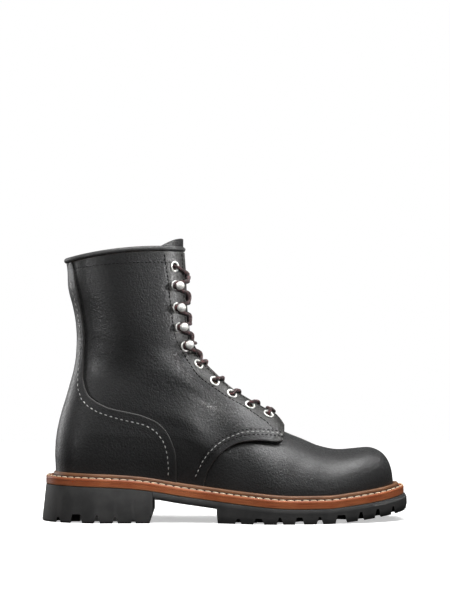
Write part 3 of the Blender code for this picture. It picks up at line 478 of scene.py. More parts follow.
def face_out(thing):
    """Turns all normals outward."""
    only(thing)
    bpy.ops.object.mode_set(mode="EDIT")
    bpy.ops.mesh.select_all(action="SELECT")
    bpy.ops.mesh.normals_make_consistent(inside=False)
    bpy.ops.object.mode_set(mode="OBJECT")


def apply_modifier(thing, kind, **settings):
    """Adds a modifier and applies it at once."""
    only(thing)
    added = thing.modifiers.new(kind.lower(), kind)
    for key, value in settings.items():
        setattr(added, key, value)
    bpy.ops.object.modifier_apply(modifier=added.name)


def loop_faces(rows, columns, wrap=True):
    """Quads of a grid whose rows are loops."""
    i, j = np.meshgrid(np.arange(rows - 1), np.arange(columns if wrap else columns - 1), indexing="ij")
    here, after = i * columns + j, i * columns + (j + 1) % columns
    return np.stack([here, after, after + columns, here + columns], -1).reshape(-1, 4)


def ring_faces(rows, columns):
    """The same, with the last row joined to the first."""
    low = (rows - 1) * columns
    faces = [tuple(f) for f in loop_faces(rows, columns)]
    return faces + [(low + i, low + (i + 1) % columns, (i + 1) % columns, i) for i in range(columns)]


def capped_faces(rows, columns):
    """The same, with a lid on the first and the last row."""
    low = (rows - 1) * columns
    faces = [tuple(f) for f in loop_faces(rows, columns)]
    return faces + [tuple(range(columns))[::-1], tuple(low + i for i in range(columns))]


def run_along(path):
    """How far along a line of places each of them is."""
    return np.concatenate([[0], np.cumsum(np.linalg.norm(np.diff(path, axis=0), axis=1))])


# %% Cutting a grid
def slope_on_face(f, a, v, lifted=True, step=1e-3):
    """The steepest way up of f on the face, in angle and v for each millimetre and in space, and its slope."""
    dv = np.where(v > 0.5, -step, step)
    here = outer_face(a, v, lifted)
    by_a = (outer_face(a + step, v, lifted) - here) / step
    by_v = (outer_face(a, v + dv, lifted) - here) / dv[:, None]
    f_a = (f(here + by_a * step) - f(here)) / step
    f_v = (f(here + by_v * step) - f(here)) / step
    aa, av, vv = (by_a * by_a).sum(1), (by_a * by_v).sum(1), (by_v * by_v).sum(1)
    area = np.maximum(1e-6, aa * vv - av * av)
    up_a, up_v = (f_a * vv - f_v * av) / area, (f_v * aa - f_a * av) / area
    up = by_a * up_a[:, None] + by_v * up_v[:, None]
    steep = np.maximum(0.05, np.linalg.norm(up, axis=1))
    return up_a / steep, up_v / steep, up / steep[:, None], steep


def cut_grid(f, top, floor_v):
    """The part of the last's grid where f, a distance to the cut, is positive."""
    a, v = (part.ravel() for part in np.meshgrid(grid_angles(AROUND), np.linspace(floor_v, top, ROWS)))
    f_here = f(a, v)
    here = np.arange(ROWS * AROUND).reshape(ROWS, AROUND)
    pairs = np.concatenate([
        np.stack([here, np.roll(here, -1, axis=1)], -1).reshape(-1, 2),
        np.stack([here[:-1], here[1:]], -1).reshape(-1, 2),
    ])
    crossed = pairs[f_here[pairs[:, 0]] * f_here[pairs[:, 1]] < 0]
    inner = np.where(f_here[crossed[:, 0]] > 0, crossed[:, 0], crossed[:, 1])
    outer = crossed.sum(axis=1) - inner
    turn = (a[outer] - a[inner] + math.pi) % (2 * math.pi) - math.pi
    low, high = np.zeros(len(crossed)), np.ones(len(crossed))
    for _ in range(22):
        half = (low + high) / 2
        still = f(a[inner] + half * turn, v[inner] + half * (v[outer] - v[inner])) > 0
        low, high = np.where(still, half, low), np.where(still, high, half)
    cut_a, cut_v = a[inner] + low * turn, v[inner] + low * (v[outer] - v[inner])
    moved = np.zeros(len(a), bool)
    for k in np.argsort(np.minimum(low, 1 - low)):
        closest = inner[k] if low[k] < 0.5 else outer[k]
        if min(low[k], 1 - low[k]) < NEAR_CUT and not moved[inner[k]] and not moved[outer[k]]:
            a[closest], v[closest], f_here[closest], moved[closest] = cut_a[k], cut_v[k], 0, True
    fresh = {}
    new_a, new_v = [], []
    for k in range(len(crossed)):
        if not moved[inner[k]] and not moved[outer[k]] and f_here[inner[k]] * f_here[outer[k]] < 0:
            fresh[tuple(sorted((int(inner[k]), int(outer[k]))))] = len(a) + len(new_a)
            new_a.append(cut_a[k])
            new_v.append(cut_v[k])
    quads = loop_faces(ROWS, AROUND)
    kept = f_here[quads] >= 0
    faces = [tuple(q) for q in quads[kept.all(axis=1)] if (f_here[q] > 0).any()]
    for quad in quads[kept.any(axis=1) & ~kept.all(axis=1)]:
        face = []
        for one, two in zip(quad, np.roll(quad, -1)):
            if f_here[one] >= 0:
                face.append(int(one))
            between = fresh.get(tuple(sorted((int(one), int(two)))))
            if between is not None:
                face.append(between)
        if len(face) >= 3 and any(i >= len(a) or f_here[i] > 0 for i in face):
            faces.append(tuple(face))
    on_cut = np.concatenate([moved, np.ones(len(new_a), bool)])
    return np.concatenate([a, new_a]), np.concatenate([v, new_v]), faces, on_cut


# %% [markdown]
# The seams are drawn in the side view, where the photograph shows them, and laid onto the last from there.
# The quarters' edge is a height for each x, the counter's edge an x for each height. The throat is the gap
# between the two facings, seen from the front.

# %% Seam lines
QUARTER_EDGE = dict(x=(-20, -17, -10.6, 0, 14.5, 29, 43, 47.6, 48.8, 49.8),
                    z=(10, 34, 49, 60.6, 67.3, 68.6, 67.4, 67.8, 70, 92))
COUNTER_EDGE = dict(z=(20, 54, 70, 82.8, 89.5, 96.8, 107.5, 121, 151, 181, 224),
                    x=(-40.5, -41, -45.5, -55, -69, -99.5, -115, -118.4, -117, -120.2, -131))
THROAT = dict(z=(60, 76, 80, 86, 110, 150, 250), half=(4.5, 4.5, 5.5, 9.0, 10.5, 12.0, 12.5))
RIDGE_Y = float(outer_face(math.pi, 0.475)[0, 1])
THROAT_BACK_X, FAR_OFF = -60, 30.0


def quarter_inside(p):
    return p[:, 2] - through(QUARTER_EDGE["x"], QUARTER_EDGE["z"], p[:, 0])


def counter_inside(p):
    return through(COUNTER_EDGE["z"], COUNTER_EDGE["x"], p[:, 2]) - p[:, 0]


def throat_half(p):
    return through(THROAT["z"], THROAT["half"], p[:, 2])


def throat_inside(p):
    """Distance outside the throat's gap, for points at the front of the boot."""
    return np.where(p[:, 0] > THROAT_BACK_X, np.abs(p[:, 1] - RIDGE_Y) - throat_half(p), FAR_OFF)


def angle_where(turn, v, width):
    """The angle, from the front to a turn away from it, where the last is a width off the throat's middle."""
    near = np.full(len(v), math.pi)
    far = near + turn
    for _ in range(40):
        half = (near + far) / 2
        p = outer_face(half, v)
        out = np.abs(p[:, 1] - RIDGE_Y) > width(p)
        far = np.where(out, half, far)
        near = np.where(out, near, half)
    return near


def angle_at_width(y, v):
    """The angle on the front half, on the side of y, where the last is that far from the throat's middle."""
    return angle_where(math.copysign(0.5 * math.pi, y), np.array([v], float), lambda p: abs(y))[0]


def side_line(xs, zs, count, lifted=True):
    """A line drawn in the side view, laid on both sides of the last as angle, v and place."""
    xs, zs = np.asarray(xs, float), np.asarray(zs, float)
    run = run_along(np.column_stack([xs, zs]))
    t = np.linspace(0, run[-1], count)
    laid = []
    for side in (-1, 1):
        a, v = locate(np.interp(t, run, xs), np.interp(t, run, zs), side, lifted)
        p = outer_face(a, v, lifted)
        hit = np.hypot(p[:, 0] - np.interp(t, run, xs), p[:, 2] - np.interp(t, run, zs)) < 0.4
        laid.append((a[hit], v[hit], p[hit]))
    return laid


def edge_of(table, count=400, by="x"):
    """Side-view samples of a seam table."""
    keys = ("x", "z") if by == "x" else ("z", "x")
    t = np.linspace(table[keys[0]][0], table[keys[0]][-1], count)
    other = through(table[keys[0]], table[keys[1]], t)
    return (t, other) if by == "x" else (other, t)


qx, qz = edge_of(QUARTER_EDGE)
shown = qz > feather_z(qx) + 1
QUARTER_LINE = side_line(qx[shown], qz[shown], 420)
cx, cz = edge_of(COUNTER_EDGE, by="z")
shown = (cz > feather_z(cx) + 1) & (cz < 222)
COUNTER_LINE = side_line(cx[shown], cz[shown], 520)
throat_v = np.linspace(0.47, ALMOST_TOP, 260)


def throat_edge(sign):
    """The facing's free edge on one side: at each height, the angle where the last is as wide as the gap."""
    near = angle_where(sign * 0.45 * math.pi, throat_v, throat_half)
    return near, throat_v, outer_face(near, throat_v)


THROAT_LINE = [throat_edge(-1), throat_edge(1)]
HOLDERS = dict(
    kind=("eyelet", "hook", "hook", "hook", "hook", "eyelet", "eyelet", "eyelet", "eyelet", "eyelet"),
    x=(-43.0, -42.7, -41.5, -39.3, -34.4, -22.9, -9.4, 5.3, 20.6, 36.3),
    z=(214.6, 198.5, 179.9, 163.1, 146.8, 131.9, 117.6, 106.8, 97.3, 89.6),
)
BORE_RADIUS = 3.2
EYESTAY = dict(z=(75, 76.5, 82.5, 88.6, 96.1, 104.1, 113.5, 122.7, 130.3, 142, 154.5, 164.9, 179.8, 196.5, 209,
                  221, 228),
               x=(41, 40.5, 35.7, 27.3, 16.3, 2.4, -11.4, -23.2, -28.8, -35.8, -42, -44.2, -46.2, -47.8, -49.2,
                  -51.2, -51.8))
holder_places = {side: locate(np.array(HOLDERS["x"]), np.array(HOLDERS["z"]), side) for side in (-1, 1)}
bore_axes = [
    (seat, axis)
    for places in holder_places.values()
    for kind, seat, axis in zip(HOLDERS["kind"], outer_face(*places), face_normal(*places))
    if kind == "eyelet"
]


def bores_inside(p):
    """Distance outside the eyelets' holes."""
    gap = np.full(len(p), FAR_OFF)
    for seat, axis in bore_axes:
        way = p - seat
        away = np.linalg.norm(way - (way @ axis)[:, None] * axis, axis=1) - BORE_RADIUS
        gap = np.where(np.linalg.norm(way, axis=1) < 15, np.minimum(gap, away), gap)
    return gap


def eyestay_inside(p):
    """Distance in front of the eyestay's stitch line, in the side view."""
    return p[:, 0] - through(EYESTAY["z"], EYESTAY["x"], p[:, 2])


print("edge samples:", len(QUARTER_LINE[0][0]), len(COUNTER_LINE[0][0]), "ridge at y", round(RIDGE_Y, 2))

# %% [markdown]
# The upper is full-grain black leather with a soft wax shine. Up close it has fine pores and short wrinkles
# between them, which break the light up into small glints. Cells give the pores, stretched noise the
# wrinkles, and a larger noise makes some places duller than others. Near cut edges the colour is lighter:
# partly dye wear, partly a painted highlight along the edge.

# %% Leather finish
def black_leather(name, tone=(0.0125, 0.0125, 0.0128), worn_and_highlight=(0.06, 0.057, 0.053), gloss=0.37, marked=False):
    """Waxed black leather, lighter at cut edges by dye wear and a painted highlight. Where it is marked, the
    eyestay is greyer and a painted shadow lies beside the backstay.
    """
    finish = Finish(name, IOR=1.5, Specular_IOR_Level=0.5, Coat_Roughness=0.3)
    pores = finish.cells(760.0)
    wrinkles = finish.noise(560.0, 3.0, 0.65).above(0.32, 0.68)
    broad = finish.noise(38.0, 3.0, 0.55)
    patch = finish.noise(14.0, 2.0, 0.5)
    # Lighter towards cut edges: partly dye wear, partly a painted highlight along the edge.
    wear_and_highlight = (1 - finish.read("edge").above(0.2, 1.6)) * (0.3 + 0.7 * broad)
    colour = finish.blend(patch.above(0.3, 0.75), tone, tuple(c * 1.3 for c in tone))
    colour = finish.blend(wrinkles * 0.35, colour, tuple(c * 2.4 for c in tone))
    rough = gloss + 0.14 * (broad - 0.5) + 0.10 * (patch - 0.5) - 0.16 * (wrinkles - 0.5)
    if marked:
        stay = finish.read("stay").above(-0.4, 0.4)
        # Painted shadow: next to the backstay's edge the quarters turn near-black and dull.
        backstay_shadow = 1 - finish.read("backstay_shadow").above(1.4, 3.4)
        colour = finish.blend(stay * (0.65 + 0.35 * wrinkles), colour, (0.028, 0.027, 0.025))
        colour = finish.blend(backstay_shadow * 0.95, colour, (0.001, 0.001, 0.001))
        rough = rough + stay * 0.06 + backstay_shadow * 0.5
    swell = finish.bump(broad, 0.09, 0.0012)
    pored = finish.bump(pores, 0.5, 0.00016, swell)
    finish.feed(
        Base_Color=finish.blend(wear_and_highlight * 0.6, colour, worn_and_highlight),
        Roughness=rough,
        Coat_Weight=0.04 + 0.16 * wrinkles,
        Normal=finish.bump(wrinkles, 0.58, 0.0002, pored),
    )
    return finish


LEATHER = black_leather("black_leather_grain")
QUARTER_LEATHER = black_leather("black_leather_quarters", marked=True)
print("leather nodes:", len(LEATHER.tree.nodes))

# %% [markdown]
# Leather takes a set where the foot bends it. Each crease is a soft trough with a low ridge beside it, laid
# across the boot by its place along the vamp or up the ankle, deepest in its middle and gone at its ends.

# %% Creases
CREASES = [
    # x and z of the middle in the side view, length, width, depth, slope of the crease in the side view
    dict(x=66.0, z=50.0, long=40.0, wide=16.0, deep=0.45, lean=1.0),
    dict(x=86.0, z=44.0, long=30.0, wide=16.0, deep=0.35, lean=0.9),
    dict(x=-24.0, z=104.0, long=54.0, wide=20.0, deep=0.55, lean=-0.35),
    dict(x=-62.0, z=138.0, long=60.0, wide=30.0, deep=0.70, lean=0.20),
    dict(x=-96.0, z=122.0, long=44.0, wide=24.0, deep=0.45, lean=-0.25),
]


def crease_depth(p):
    """How far the leather is pressed in at each point."""
    total = np.zeros(len(p))
    for crease in CREASES:
        turn = math.atan(crease["lean"])
        dx, dz = p[:, 0] - crease["x"], p[:, 2] - crease["z"]
        along = dx * math.cos(turn) + dz * math.sin(turn)
        bow = 0.010 * along**2 * crease["wide"] / crease["long"]
        across = -dx * math.sin(turn) + dz * math.cos(turn) + bow
        fade = np.exp(-((along / (crease["long"] / 2)) ** 2))
        t = across / (crease["wide"] / 2)
        total += crease["deep"] * fade * (np.exp(-t * t) - 0.45 * np.exp(-((t - 1.7) ** 2)))
    return total


# %% Panel maker
EDGE_ROUND = 0.5


def panel(name, finish, step, thick, inside, lines=(), lifted=True, top=1.0, floor_v=0.0, marks=None):
    """A leather sheet over the last where inside is positive. lines are the cut's samples, marks more values."""
    def to_cut(a, v):
        _, _, _, steep = slope_on_face(inside, a, v, lifted)
        return inside(outer_face(a, v, lifted)) / steep - EDGE_ROUND

    a, v, faces, on_cut = cut_grid(to_cut, top, floor_v)
    used = np.unique(np.concatenate([np.array(f) for f in faces]))
    new = np.full(len(a), -1)
    new[used] = np.arange(len(used))
    a, v, on_cut = a[used], v[used], on_cut[used]
    faces = [tuple(new[list(f)]) for f in faces]
    base, out = outer_face(a, v, lifted), face_normal(a, v, lifted)
    rise = step(base) if callable(step) else np.full(len(base), step)
    upper_side = base + out * (rise - crease_depth(base))[:, None]
    lower_side = upper_side - out * thick
    edge = np.full(len(base), FAR_FROM_CUT)
    if lines:
        edge = nearest(base, np.concatenate([line[2] for line in lines]))
    count = len(base)
    ways = {(f[i], f[(i + 1) % len(f)]) for f in faces for i in range(len(f))}
    border = [way for way in ways if (way[1], way[0]) not in ways]
    rim = sorted({i for way in border for i in way})
    place = {i: k for k, i in enumerate(rim)}
    _, _, up, _ = slope_on_face(inside, a[rim], v[rim], lifted)
    away = -up * on_cut[rim][:, None]
    down = -out[rim] * on_cut[rim][:, None]
    turn_over = [upper_side[rim] + EDGE_ROUND * (away * math.sin(t) + down * (1 - math.cos(t)))
                 for t in np.radians((30, 60, 90))]
    turn_over.append(lower_side[rim] + EDGE_ROUND * away)
    points = np.concatenate([upper_side, lower_side] + turn_over)
    rows = [rim] + [[2 * count + r * len(rim) + k for k in range(len(rim))] for r in range(len(turn_over))]
    rows.append([i + count for i in rim])
    sides = []
    for here, after in border:
        for one, two in zip(rows, rows[1:]):
            sides.append((one[place[after]], one[place[here]], two[place[here]], two[place[after]]))
    all_faces = faces + [tuple(i + count for i in reversed(f)) for f in faces] + sides
    floats = {"edge": np.concatenate([edge, np.full(count, FAR_FROM_CUT), np.zeros(len(rim) * len(turn_over))])}
    for key, value in (marks or {}).items():
        worth = value(base)
        floats[key] = np.concatenate([worth, worth] + [worth[rim]] * len(turn_over))
    thing = mesh_object(name, points, all_faces, finish, floats)
    only(thing)
    bpy.ops.object.shade_smooth_by_angle(angle=math.radians(50))
    print(name, "faces:", len(thing.data.polygons))
    return thing


# %% [markdown]
# The vamp covers the toe and the front of the foot in one piece, with no toe cap. Its rear edge is hidden:
# it runs on under the quarters, so its sheet simply stops some way behind their edge. Under the facings'
# front ends it is padded out, so that they don't stand clear of it.

# %% Vamp
UNDERLAP, TOP_UNDERLAP, VAMP_TOP_V = 9.0, 14.0, 0.72


def facing_lift(p):
    """How far the facings stand over the plain last at each place."""
    across = p[:, 1] - CENTRE_Y - lean(along_foot(p[:, 0]))
    tilt = np.arctan2(np.maximum(0, p[:, 2] - feather_z(p[:, 0])), np.abs(across))
    return through(DOMES["x"], DOMES["lift"], p[:, 0]) * np.sin(tilt) ** LIFT_POWER


def vamp_rise(p):
    """Under the facings' front ends the vamp is padded out, a little behind their edge."""
    along = ease((48.0 - p[:, 0]) / 2.5) * ease((p[:, 0] - 34) / 6)
    return np.maximum(0, facing_lift(p) - 2.8) * along * ease((np.abs(p[:, 1] - RIDGE_Y) - 4.5) / 2)


def vamp_inside(p):
    """Distance in front of the vamp's hidden rear edge, which lies further back under the facings."""
    return UNDERLAP + TOP_UNDERLAP * ease((p[:, 2] - 60) / 14) - quarter_inside(p)


panel("vamp", LEATHER, vamp_rise, 1.9, vamp_inside, lifted=False, top=VAMP_TOP_V)

# %% [markdown]
# The quarters wrap the heel and ankle and end in the two facings that carry the lace holders. They lie over
# the vamp with a thick cut edge that throws a dark line on it. The eyelets' holes are cut in the same way
# as the edges.

# %% Quarters
def nip(p):
    """How far the back's top is drawn in under the collar's edge."""
    return 2.0 * ease((p[:, 2] - 196) / 20) * ease((-116 - p[:, 0]) / 14)


def quarter_rise(p):
    return QUARTER_STEP - nip(p)


def counter_rise(p):
    return COUNTER_STEP - nip(p) - 0.9 * ease((p[:, 2] - 190) / 26)


def quarter_cut(p, less=0.0):
    """Distance inside the quarters' edges, less what the lining stands back, and outside the eyelets' holes."""
    return np.minimum(np.minimum(quarter_inside(p), throat_inside(p)) - less, bores_inside(p))


quarters = panel(
    "quarters", QUARTER_LEATHER, quarter_rise, 2.2, quarter_cut, QUARTER_LINE + THROAT_LINE,
    marks={
        "stay": lambda p: np.where(p[:, 0] > -62, eyestay_inside(p), -FAR_OFF),
        # Painted shadow beside the backstay: how far a point lies in front of the counter's edge.
        "backstay_shadow": lambda p: np.where(p[:, 2] > 100, -counter_inside(p), FAR_OFF),
    },
)

# %% [markdown]
# The heel counter and the backstay are one piece, sewn over the quarters: low and wide round the heel, and
# a narrow strip up the back that gets thinner where it goes in under the collar's edge.

# %% Counter
counter = panel(
    "heel_counter", LEATHER, counter_rise, 1.4,
    lambda p: np.minimum(counter_inside(p), p[:, 2] - base_z(p[:, 0]) - RIM_TOP + 1.5), COUNTER_LINE,
    top=ALMOST_TOP,
)
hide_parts("upper")
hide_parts("counter")

# %% [markdown]
# The rolled edge round the collar is a strip of soft leather folded over the top and sewn down. It is a
# round section drawn along the collar's line from one facing to the other, with closed ends.

# %% Collar binding
BINDING_RADIUS, BINDING_END = 2.2, 12.5
AROUND_CORD = 14


def sweep(name, path, radius, finish, flat=1.0, sides=AROUND_CORD):
    """A round cord along a line of places, with its length and turn kept on its points."""
    path = np.asarray(path, float)
    run = run_along(path)
    ahead = np.gradient(path, axis=0)
    ahead /= np.linalg.norm(ahead, axis=1, keepdims=True)
    across = np.cross(ahead[0], (0.0, 0.0, 1.0))
    if np.linalg.norm(across) < 0.2:
        across = np.cross(ahead[0], (1.0, 0.0, 0.0))
    rings = []
    for place, way in zip(path, ahead):
        across = across - way * (across @ way)
        across /= np.linalg.norm(across)
        up = np.cross(across, way)
        turn = np.arange(sides) * 2 * math.pi / sides
        rings.append(place + radius * (np.cos(turn)[:, None] * across + flat * np.sin(turn)[:, None] * up))
    points = np.concatenate(rings)
    faces = capped_faces(len(path), sides)
    around = np.tile(np.arange(sides) / sides, len(path))
    floats = {"along": np.repeat(run, sides), "around": around, "edge": np.full(len(points), FAR_FROM_CUT)}
    thing = mesh_object(name, points, faces, finish, floats)
    face_out(thing)
    return thing


first, last = angle_at_width(-BINDING_END, 1.0), angle_at_width(BINDING_END, 1.0)
turns = np.linspace(first, last - 2 * math.pi, 240)
collar_path = leather(turns, np.ones(len(turns)), (QUARTER_STEP - WALL) / 2)
collar_path += np.array([0, 0, BINDING_RADIUS + GAP])
BINDING_LEATHER = black_leather("black_leather_binding", tone=(0.030, 0.030, 0.030), gloss=0.52)
binding = sweep("collar_roll", collar_path, BINDING_RADIUS, BINDING_LEATHER)
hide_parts("collar_binding")
print("binding runs from", collar_path[0].round(1), "to", collar_path[-1].round(1))

# %% [markdown]
# The tongue is a soft leather sheet under the facings, from the foot of the throat to a little above the
# collar. It lies lower between the eyelets, where the lace needs room, and swells a little near its top.
# The sheet is drawn once, and a Solidify and a Subdivision Surface give it its thickness and its round
# edges.

# %% Tongue
TONGUE_HALF_WIDTH, TONGUE_THICK, TONGUE_RISE = 29.0, 2.6, 12.0
TONGUE_DEPTH, TONGUE_DIP, TONGUE_FOOT_V, TONGUE_CORNER = 3.4, 3.4, 0.475, 10.5
TONGUE_SWELL = 1.2
TONGUE_ROWS, TONGUE_COLUMNS, TONGUE_TOP_ROWS = 60, 31, 8
rows = []
for v in np.linspace(TONGUE_FOOT_V, 1.0, TONGUE_ROWS):
    ends = [angle_at_width(s * TONGUE_HALF_WIDTH, v) for s in (-1, 1)]
    a = np.linspace(ends[0], ends[1], TONGUE_COLUMNS)
    vs = np.full(TONGUE_COLUMNS, v)
    part = np.minimum(1, np.abs(outer_face(a, vs)[:, 1] - RIDGE_Y) / 12.0)
    dip = TONGUE_DIP * ease((v - 0.5) / 0.06) * ease((0.82 - v) / 0.08)
    swell = TONGUE_SWELL * ease((v - 0.82) / 0.1)
    rows.append(leather(a, vs, -TONGUE_DEPTH - dip * (1 - part**2) + swell * (1 - part**2)))
top = rows[-1]
for share in np.linspace(0, 1, TONGUE_TOP_ROWS + 1)[1:]:
    out = np.abs(top[:, 1] - RIDGE_Y) / TONGUE_HALF_WIDTH
    rows.append(top + np.stack([0 * out, 0 * out, share * (TONGUE_RISE - TONGUE_CORNER * out**3)], axis=-1))
tongue_points = np.concatenate(rows)
tongue_faces = loop_faces(len(rows), TONGUE_COLUMNS, wrap=False)
edge = {"edge": np.full(len(tongue_points), FAR_FROM_CUT)}
tongue = mesh_object("tongue_sheet", tongue_points, tongue_faces, LEATHER, edge)
apply_modifier(tongue, "SOLIDIFY", thickness=TONGUE_THICK * MM, offset=-1.0)
apply_modifier(tongue, "SUBSURF", levels=1, render_levels=1)
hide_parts("tongue")
print("tongue faces:", len(tongue.data.polygons), "top at", round(float(tongue_points[:, 2].max()), 1))

# %% [markdown]
# Below the upper come the sole's layers. Each is a stack of loops round the plan of the last's lower edge,
# moved out by a reach and set at a height over the sole's base line. The welt's red-brown edge shows above
# the midsole, its raised tan rim lies against the upper.

# %% Sole layers
TOE_REACH_START_X, HEEL_REACH, HEEL_REACH_START_X = 95.0, 1.8, -95.0
OUTSOLE_REACH, HEEL_FLARE = 10.0, 12.2
TOE_SPRING, SPRING_START_X, SPRING_END_X, SPRING_POWER = 9.0, 84.0, 156.0, 1.5
SOLE_POINTS = 320


def tread_z(x):
    """The tread's underside: flat on the floor, then rising to the toe."""
    part = np.clip((np.asarray(x, float) - SPRING_START_X) / (SPRING_END_X - SPRING_START_X), 0, None)
    return TOE_SPRING * part**SPRING_POWER


def sole_plan(reach, toe=0.0, heel=0.0):
    """The plan of the last's lower edge moved out, and more round its ends."""
    flat = outer_face(grid_angles(SOLE_POINTS), np.zeros(SOLE_POINTS), False)[:, :2]
    along = np.roll(flat, -1, axis=0) - np.roll(flat, 1, axis=0)
    out = np.stack([along[:, 1], -along[:, 0]], axis=-1)
    out /= np.linalg.norm(out, axis=1, keepdims=True)
    front = np.clip((flat[:, 0] - TOE_REACH_START_X) / (SECTIONS["front_x"][0] - TOE_REACH_START_X), 0, None)
    back = np.clip((flat[:, 0] - HEEL_REACH_START_X) / (SECTIONS["back_x"][0] - HEEL_REACH_START_X), 0, None)
    return flat + out * (reach + toe * front + heel * back)[:, None]


def sole_loop(reach, height, toe=0.0, heel=0.0):
    """One loop of a layer. height is a function of x."""
    plan = sole_plan(reach, toe, heel)
    return np.column_stack([plan, height(plan[:, 0])])


def over_base(rise):
    return lambda x: base_z(x) + rise


def level(rise):
    return lambda x: 0 * np.asarray(x, float) + rise


def rounded_profile(points, steps):
    """A smooth line through a few reach and rise pairs."""
    points = np.asarray(points, float)
    fine = np.linspace(0, len(points) - 1, (len(points) - 1) * steps + 1)
    columns = [through(range(len(points)), column, fine) for column in points.T]
    return list(zip(*columns))


def stack(name, loops, finish, ring=False):
    """A closed solid through loops: capped at both ends, or bent round into a ring."""
    count = len(loops[0])
    faces = (ring_faces if ring else capped_faces)(len(loops), count)
    thing = mesh_object(name, np.concatenate(loops), faces, finish, smooth=False)
    face_out(thing)
    bpy.ops.object.shade_smooth_by_angle(angle=math.radians(35))
    return thing


# %% [markdown]
# The welt and midsole are veg-tanned leather, stained red-brown on their cut edge and left tan on the rim.
# A cut edge shows the leather's fibres as short streaks along the boot, and the stain lies unevenly on
# them.

# %% Sole leather finishes
def edge_leather(name, low, high, dark, streak=1.0, gloss=0.42):
    """Stained leather with streaks along the boot."""
    finish = Finish(name, IOR=1.5, Specular_IOR_Level=0.45)
    fibres = finish.noise(1.0, 5.0, 0.6, finish.stretched(55, 55, 620))
    clouds = finish.noise(46.0, 3.0, 0.55)
    specks = finish.noise(900.0, 2.0, 0.5)
    base = finish.blend(clouds.above(0.25, 0.75), low, high)
    streaks = fibres.above(0.52, 0.72) * 0.55 + specks.above(0.6, 0.8) * 0.25
    finish.feed(
        Base_Color=finish.blend(streaks * streak, base, dark),
        Roughness=gloss + 0.25 * (clouds - 0.5) + 0.2 * (fibres - 0.5),
        Normal=finish.bump(fibres, 0.25, 0.0004, finish.bump(specks, 0.12, 0.0002)),
    )
    return finish


RED_BROWN = edge_leather("red_brown_edge", (0.385, 0.096, 0.034), (0.52, 0.16, 0.060), (0.22, 0.057, 0.024))
PALE = edge_leather("pale_edge", (0.50, 0.20, 0.09), (0.60, 0.27, 0.13), (0.33, 0.11, 0.05), 0.6)
TAN = edge_leather("tan_welt", (0.145, 0.060, 0.025), (0.23, 0.105, 0.046), (0.078, 0.033, 0.013), 0.8, 0.5)
# Painted shade: the foot of the welt's raised rim, where it meets the flange, is coloured near-black brown.
WELT_GROOVE_SHADE = edge_leather("welt_groove_painted_shade", (0.045, 0.02, 0.011), (0.07, 0.032, 0.018), (0.022, 0.01, 0.006), 0.8, 0.7)


def paint_bands(thing, bands, count):
    """Gives bands of loops their own finish: the index of the band's first row of faces, and the finish."""
    for _, finish in bands[1:]:
        thing.data.materials.append(finish.material)
    starts = [start for start, _ in bands]
    for face in thing.data.polygons:
        low = min(face.vertices) // count
        face.material_index = max(i for i, start in enumerate(starts) if low >= start)


STEPS = 4
mid_edge = rounded_profile([(8.3, 0.15), (9.0, 0.6), (9.1, 1.2), (9.1, 2.6), (9.1, 4.62)], STEPS)
midsole_loops = [sole_loop(r, over_base(h), 0.0, HEEL_REACH) for r, h in mid_edge]
midsole = stack("midsole_layer", midsole_loops, PALE)
paint_bands(midsole, [(0, PALE), (2 * STEPS - 1, RED_BROWN)], SOLE_POINTS)
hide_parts("midsole")
flange = rounded_profile([(0.3, 4.7), (8.4, 4.68), (9.08, 4.74), (9.1, 5.6), (8.95, 6.6), (8.3, 7.2)], STEPS)
rim = rounded_profile([(5.9, 6.9), (5.0, 7.0), (4.55, 8.2), (4.3, 9.8), (3.6, 10.7), (2.6, 11.0), (1.2, 10.8),
                       (0.3, 10.2)], STEPS)
welt_loops = [sole_loop(r, over_base(h), 0.0, HEEL_REACH) for r, h in flange]
welt_loops += [sole_loop(r, over_base(h)) for r, h in rim]
welt = stack("storm_welt", welt_loops, RED_BROWN, ring=True)
first_rim = len(flange)
paint_bands(welt, [(0, RED_BROWN), (first_rim, WELT_GROOVE_SHADE), (first_rim + 2 * STEPS + 1, TAN)], SOLE_POINTS)
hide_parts("welt")
print("welt faces:", len(welt.data.polygons))

# %% [markdown]
# The outsole is moulded rubber: a thin layer under the waist and a thick lugged block under the forefoot.
# The heel is a block of the same rubber with a small step at its front. Both start as stacks of loops and
# are cut with Booleans, as a mould's teeth would: notches from the sides, grooves across and a channel
# inside the edge lugs.

# %% Rubber sole
TREAD_START_X, TREAD_LEAN, TREAD_LEAN_TOP, HEEL_BREAST_X = -4.0, 3.0, 9.0, -60.5
BELOW, ABOVE, FAR = -20.0, 60.0, 200.0
LUG_REACH, CHANNEL_WIDTH, CHANNEL_DEPTH, GROOVE_WIDTH = 19.0, 5.0, 4.5, 5.0
TREAD_NOTCHES = dict(x=(11, 28, 45.6, 61.9, 79, 97, 113.6, 128, 141.5),
                     foot=(5, 9, 5.4, 7.6, 5.4, 9.5, 5.4, 5, 3.6),
                     top=(2, 5, 1.6, 4.6, 1.6, 6.5, 1.8, 2, 1.6),
                     deep=(4.5, 5, 6, 6, 6.2, 6.8, 7.2, 7.4, 6.6))
HEEL_NOTCHES = dict(x=(-140, -124.4, -107, -91.7, -76.5), foot=(4, 9.9, 5.4, 4.7, 4),
                    top=(1.6, 6.7, 1.2, 1.2, 1.4), deep=(4.6, 7.4, 6.7, 5.7, 3.4))
TREAD_GROOVES, HEEL_GROOVES = (19.5, 37, 54, 70.5, 88, 105), (-132, -115.7, -99.3)


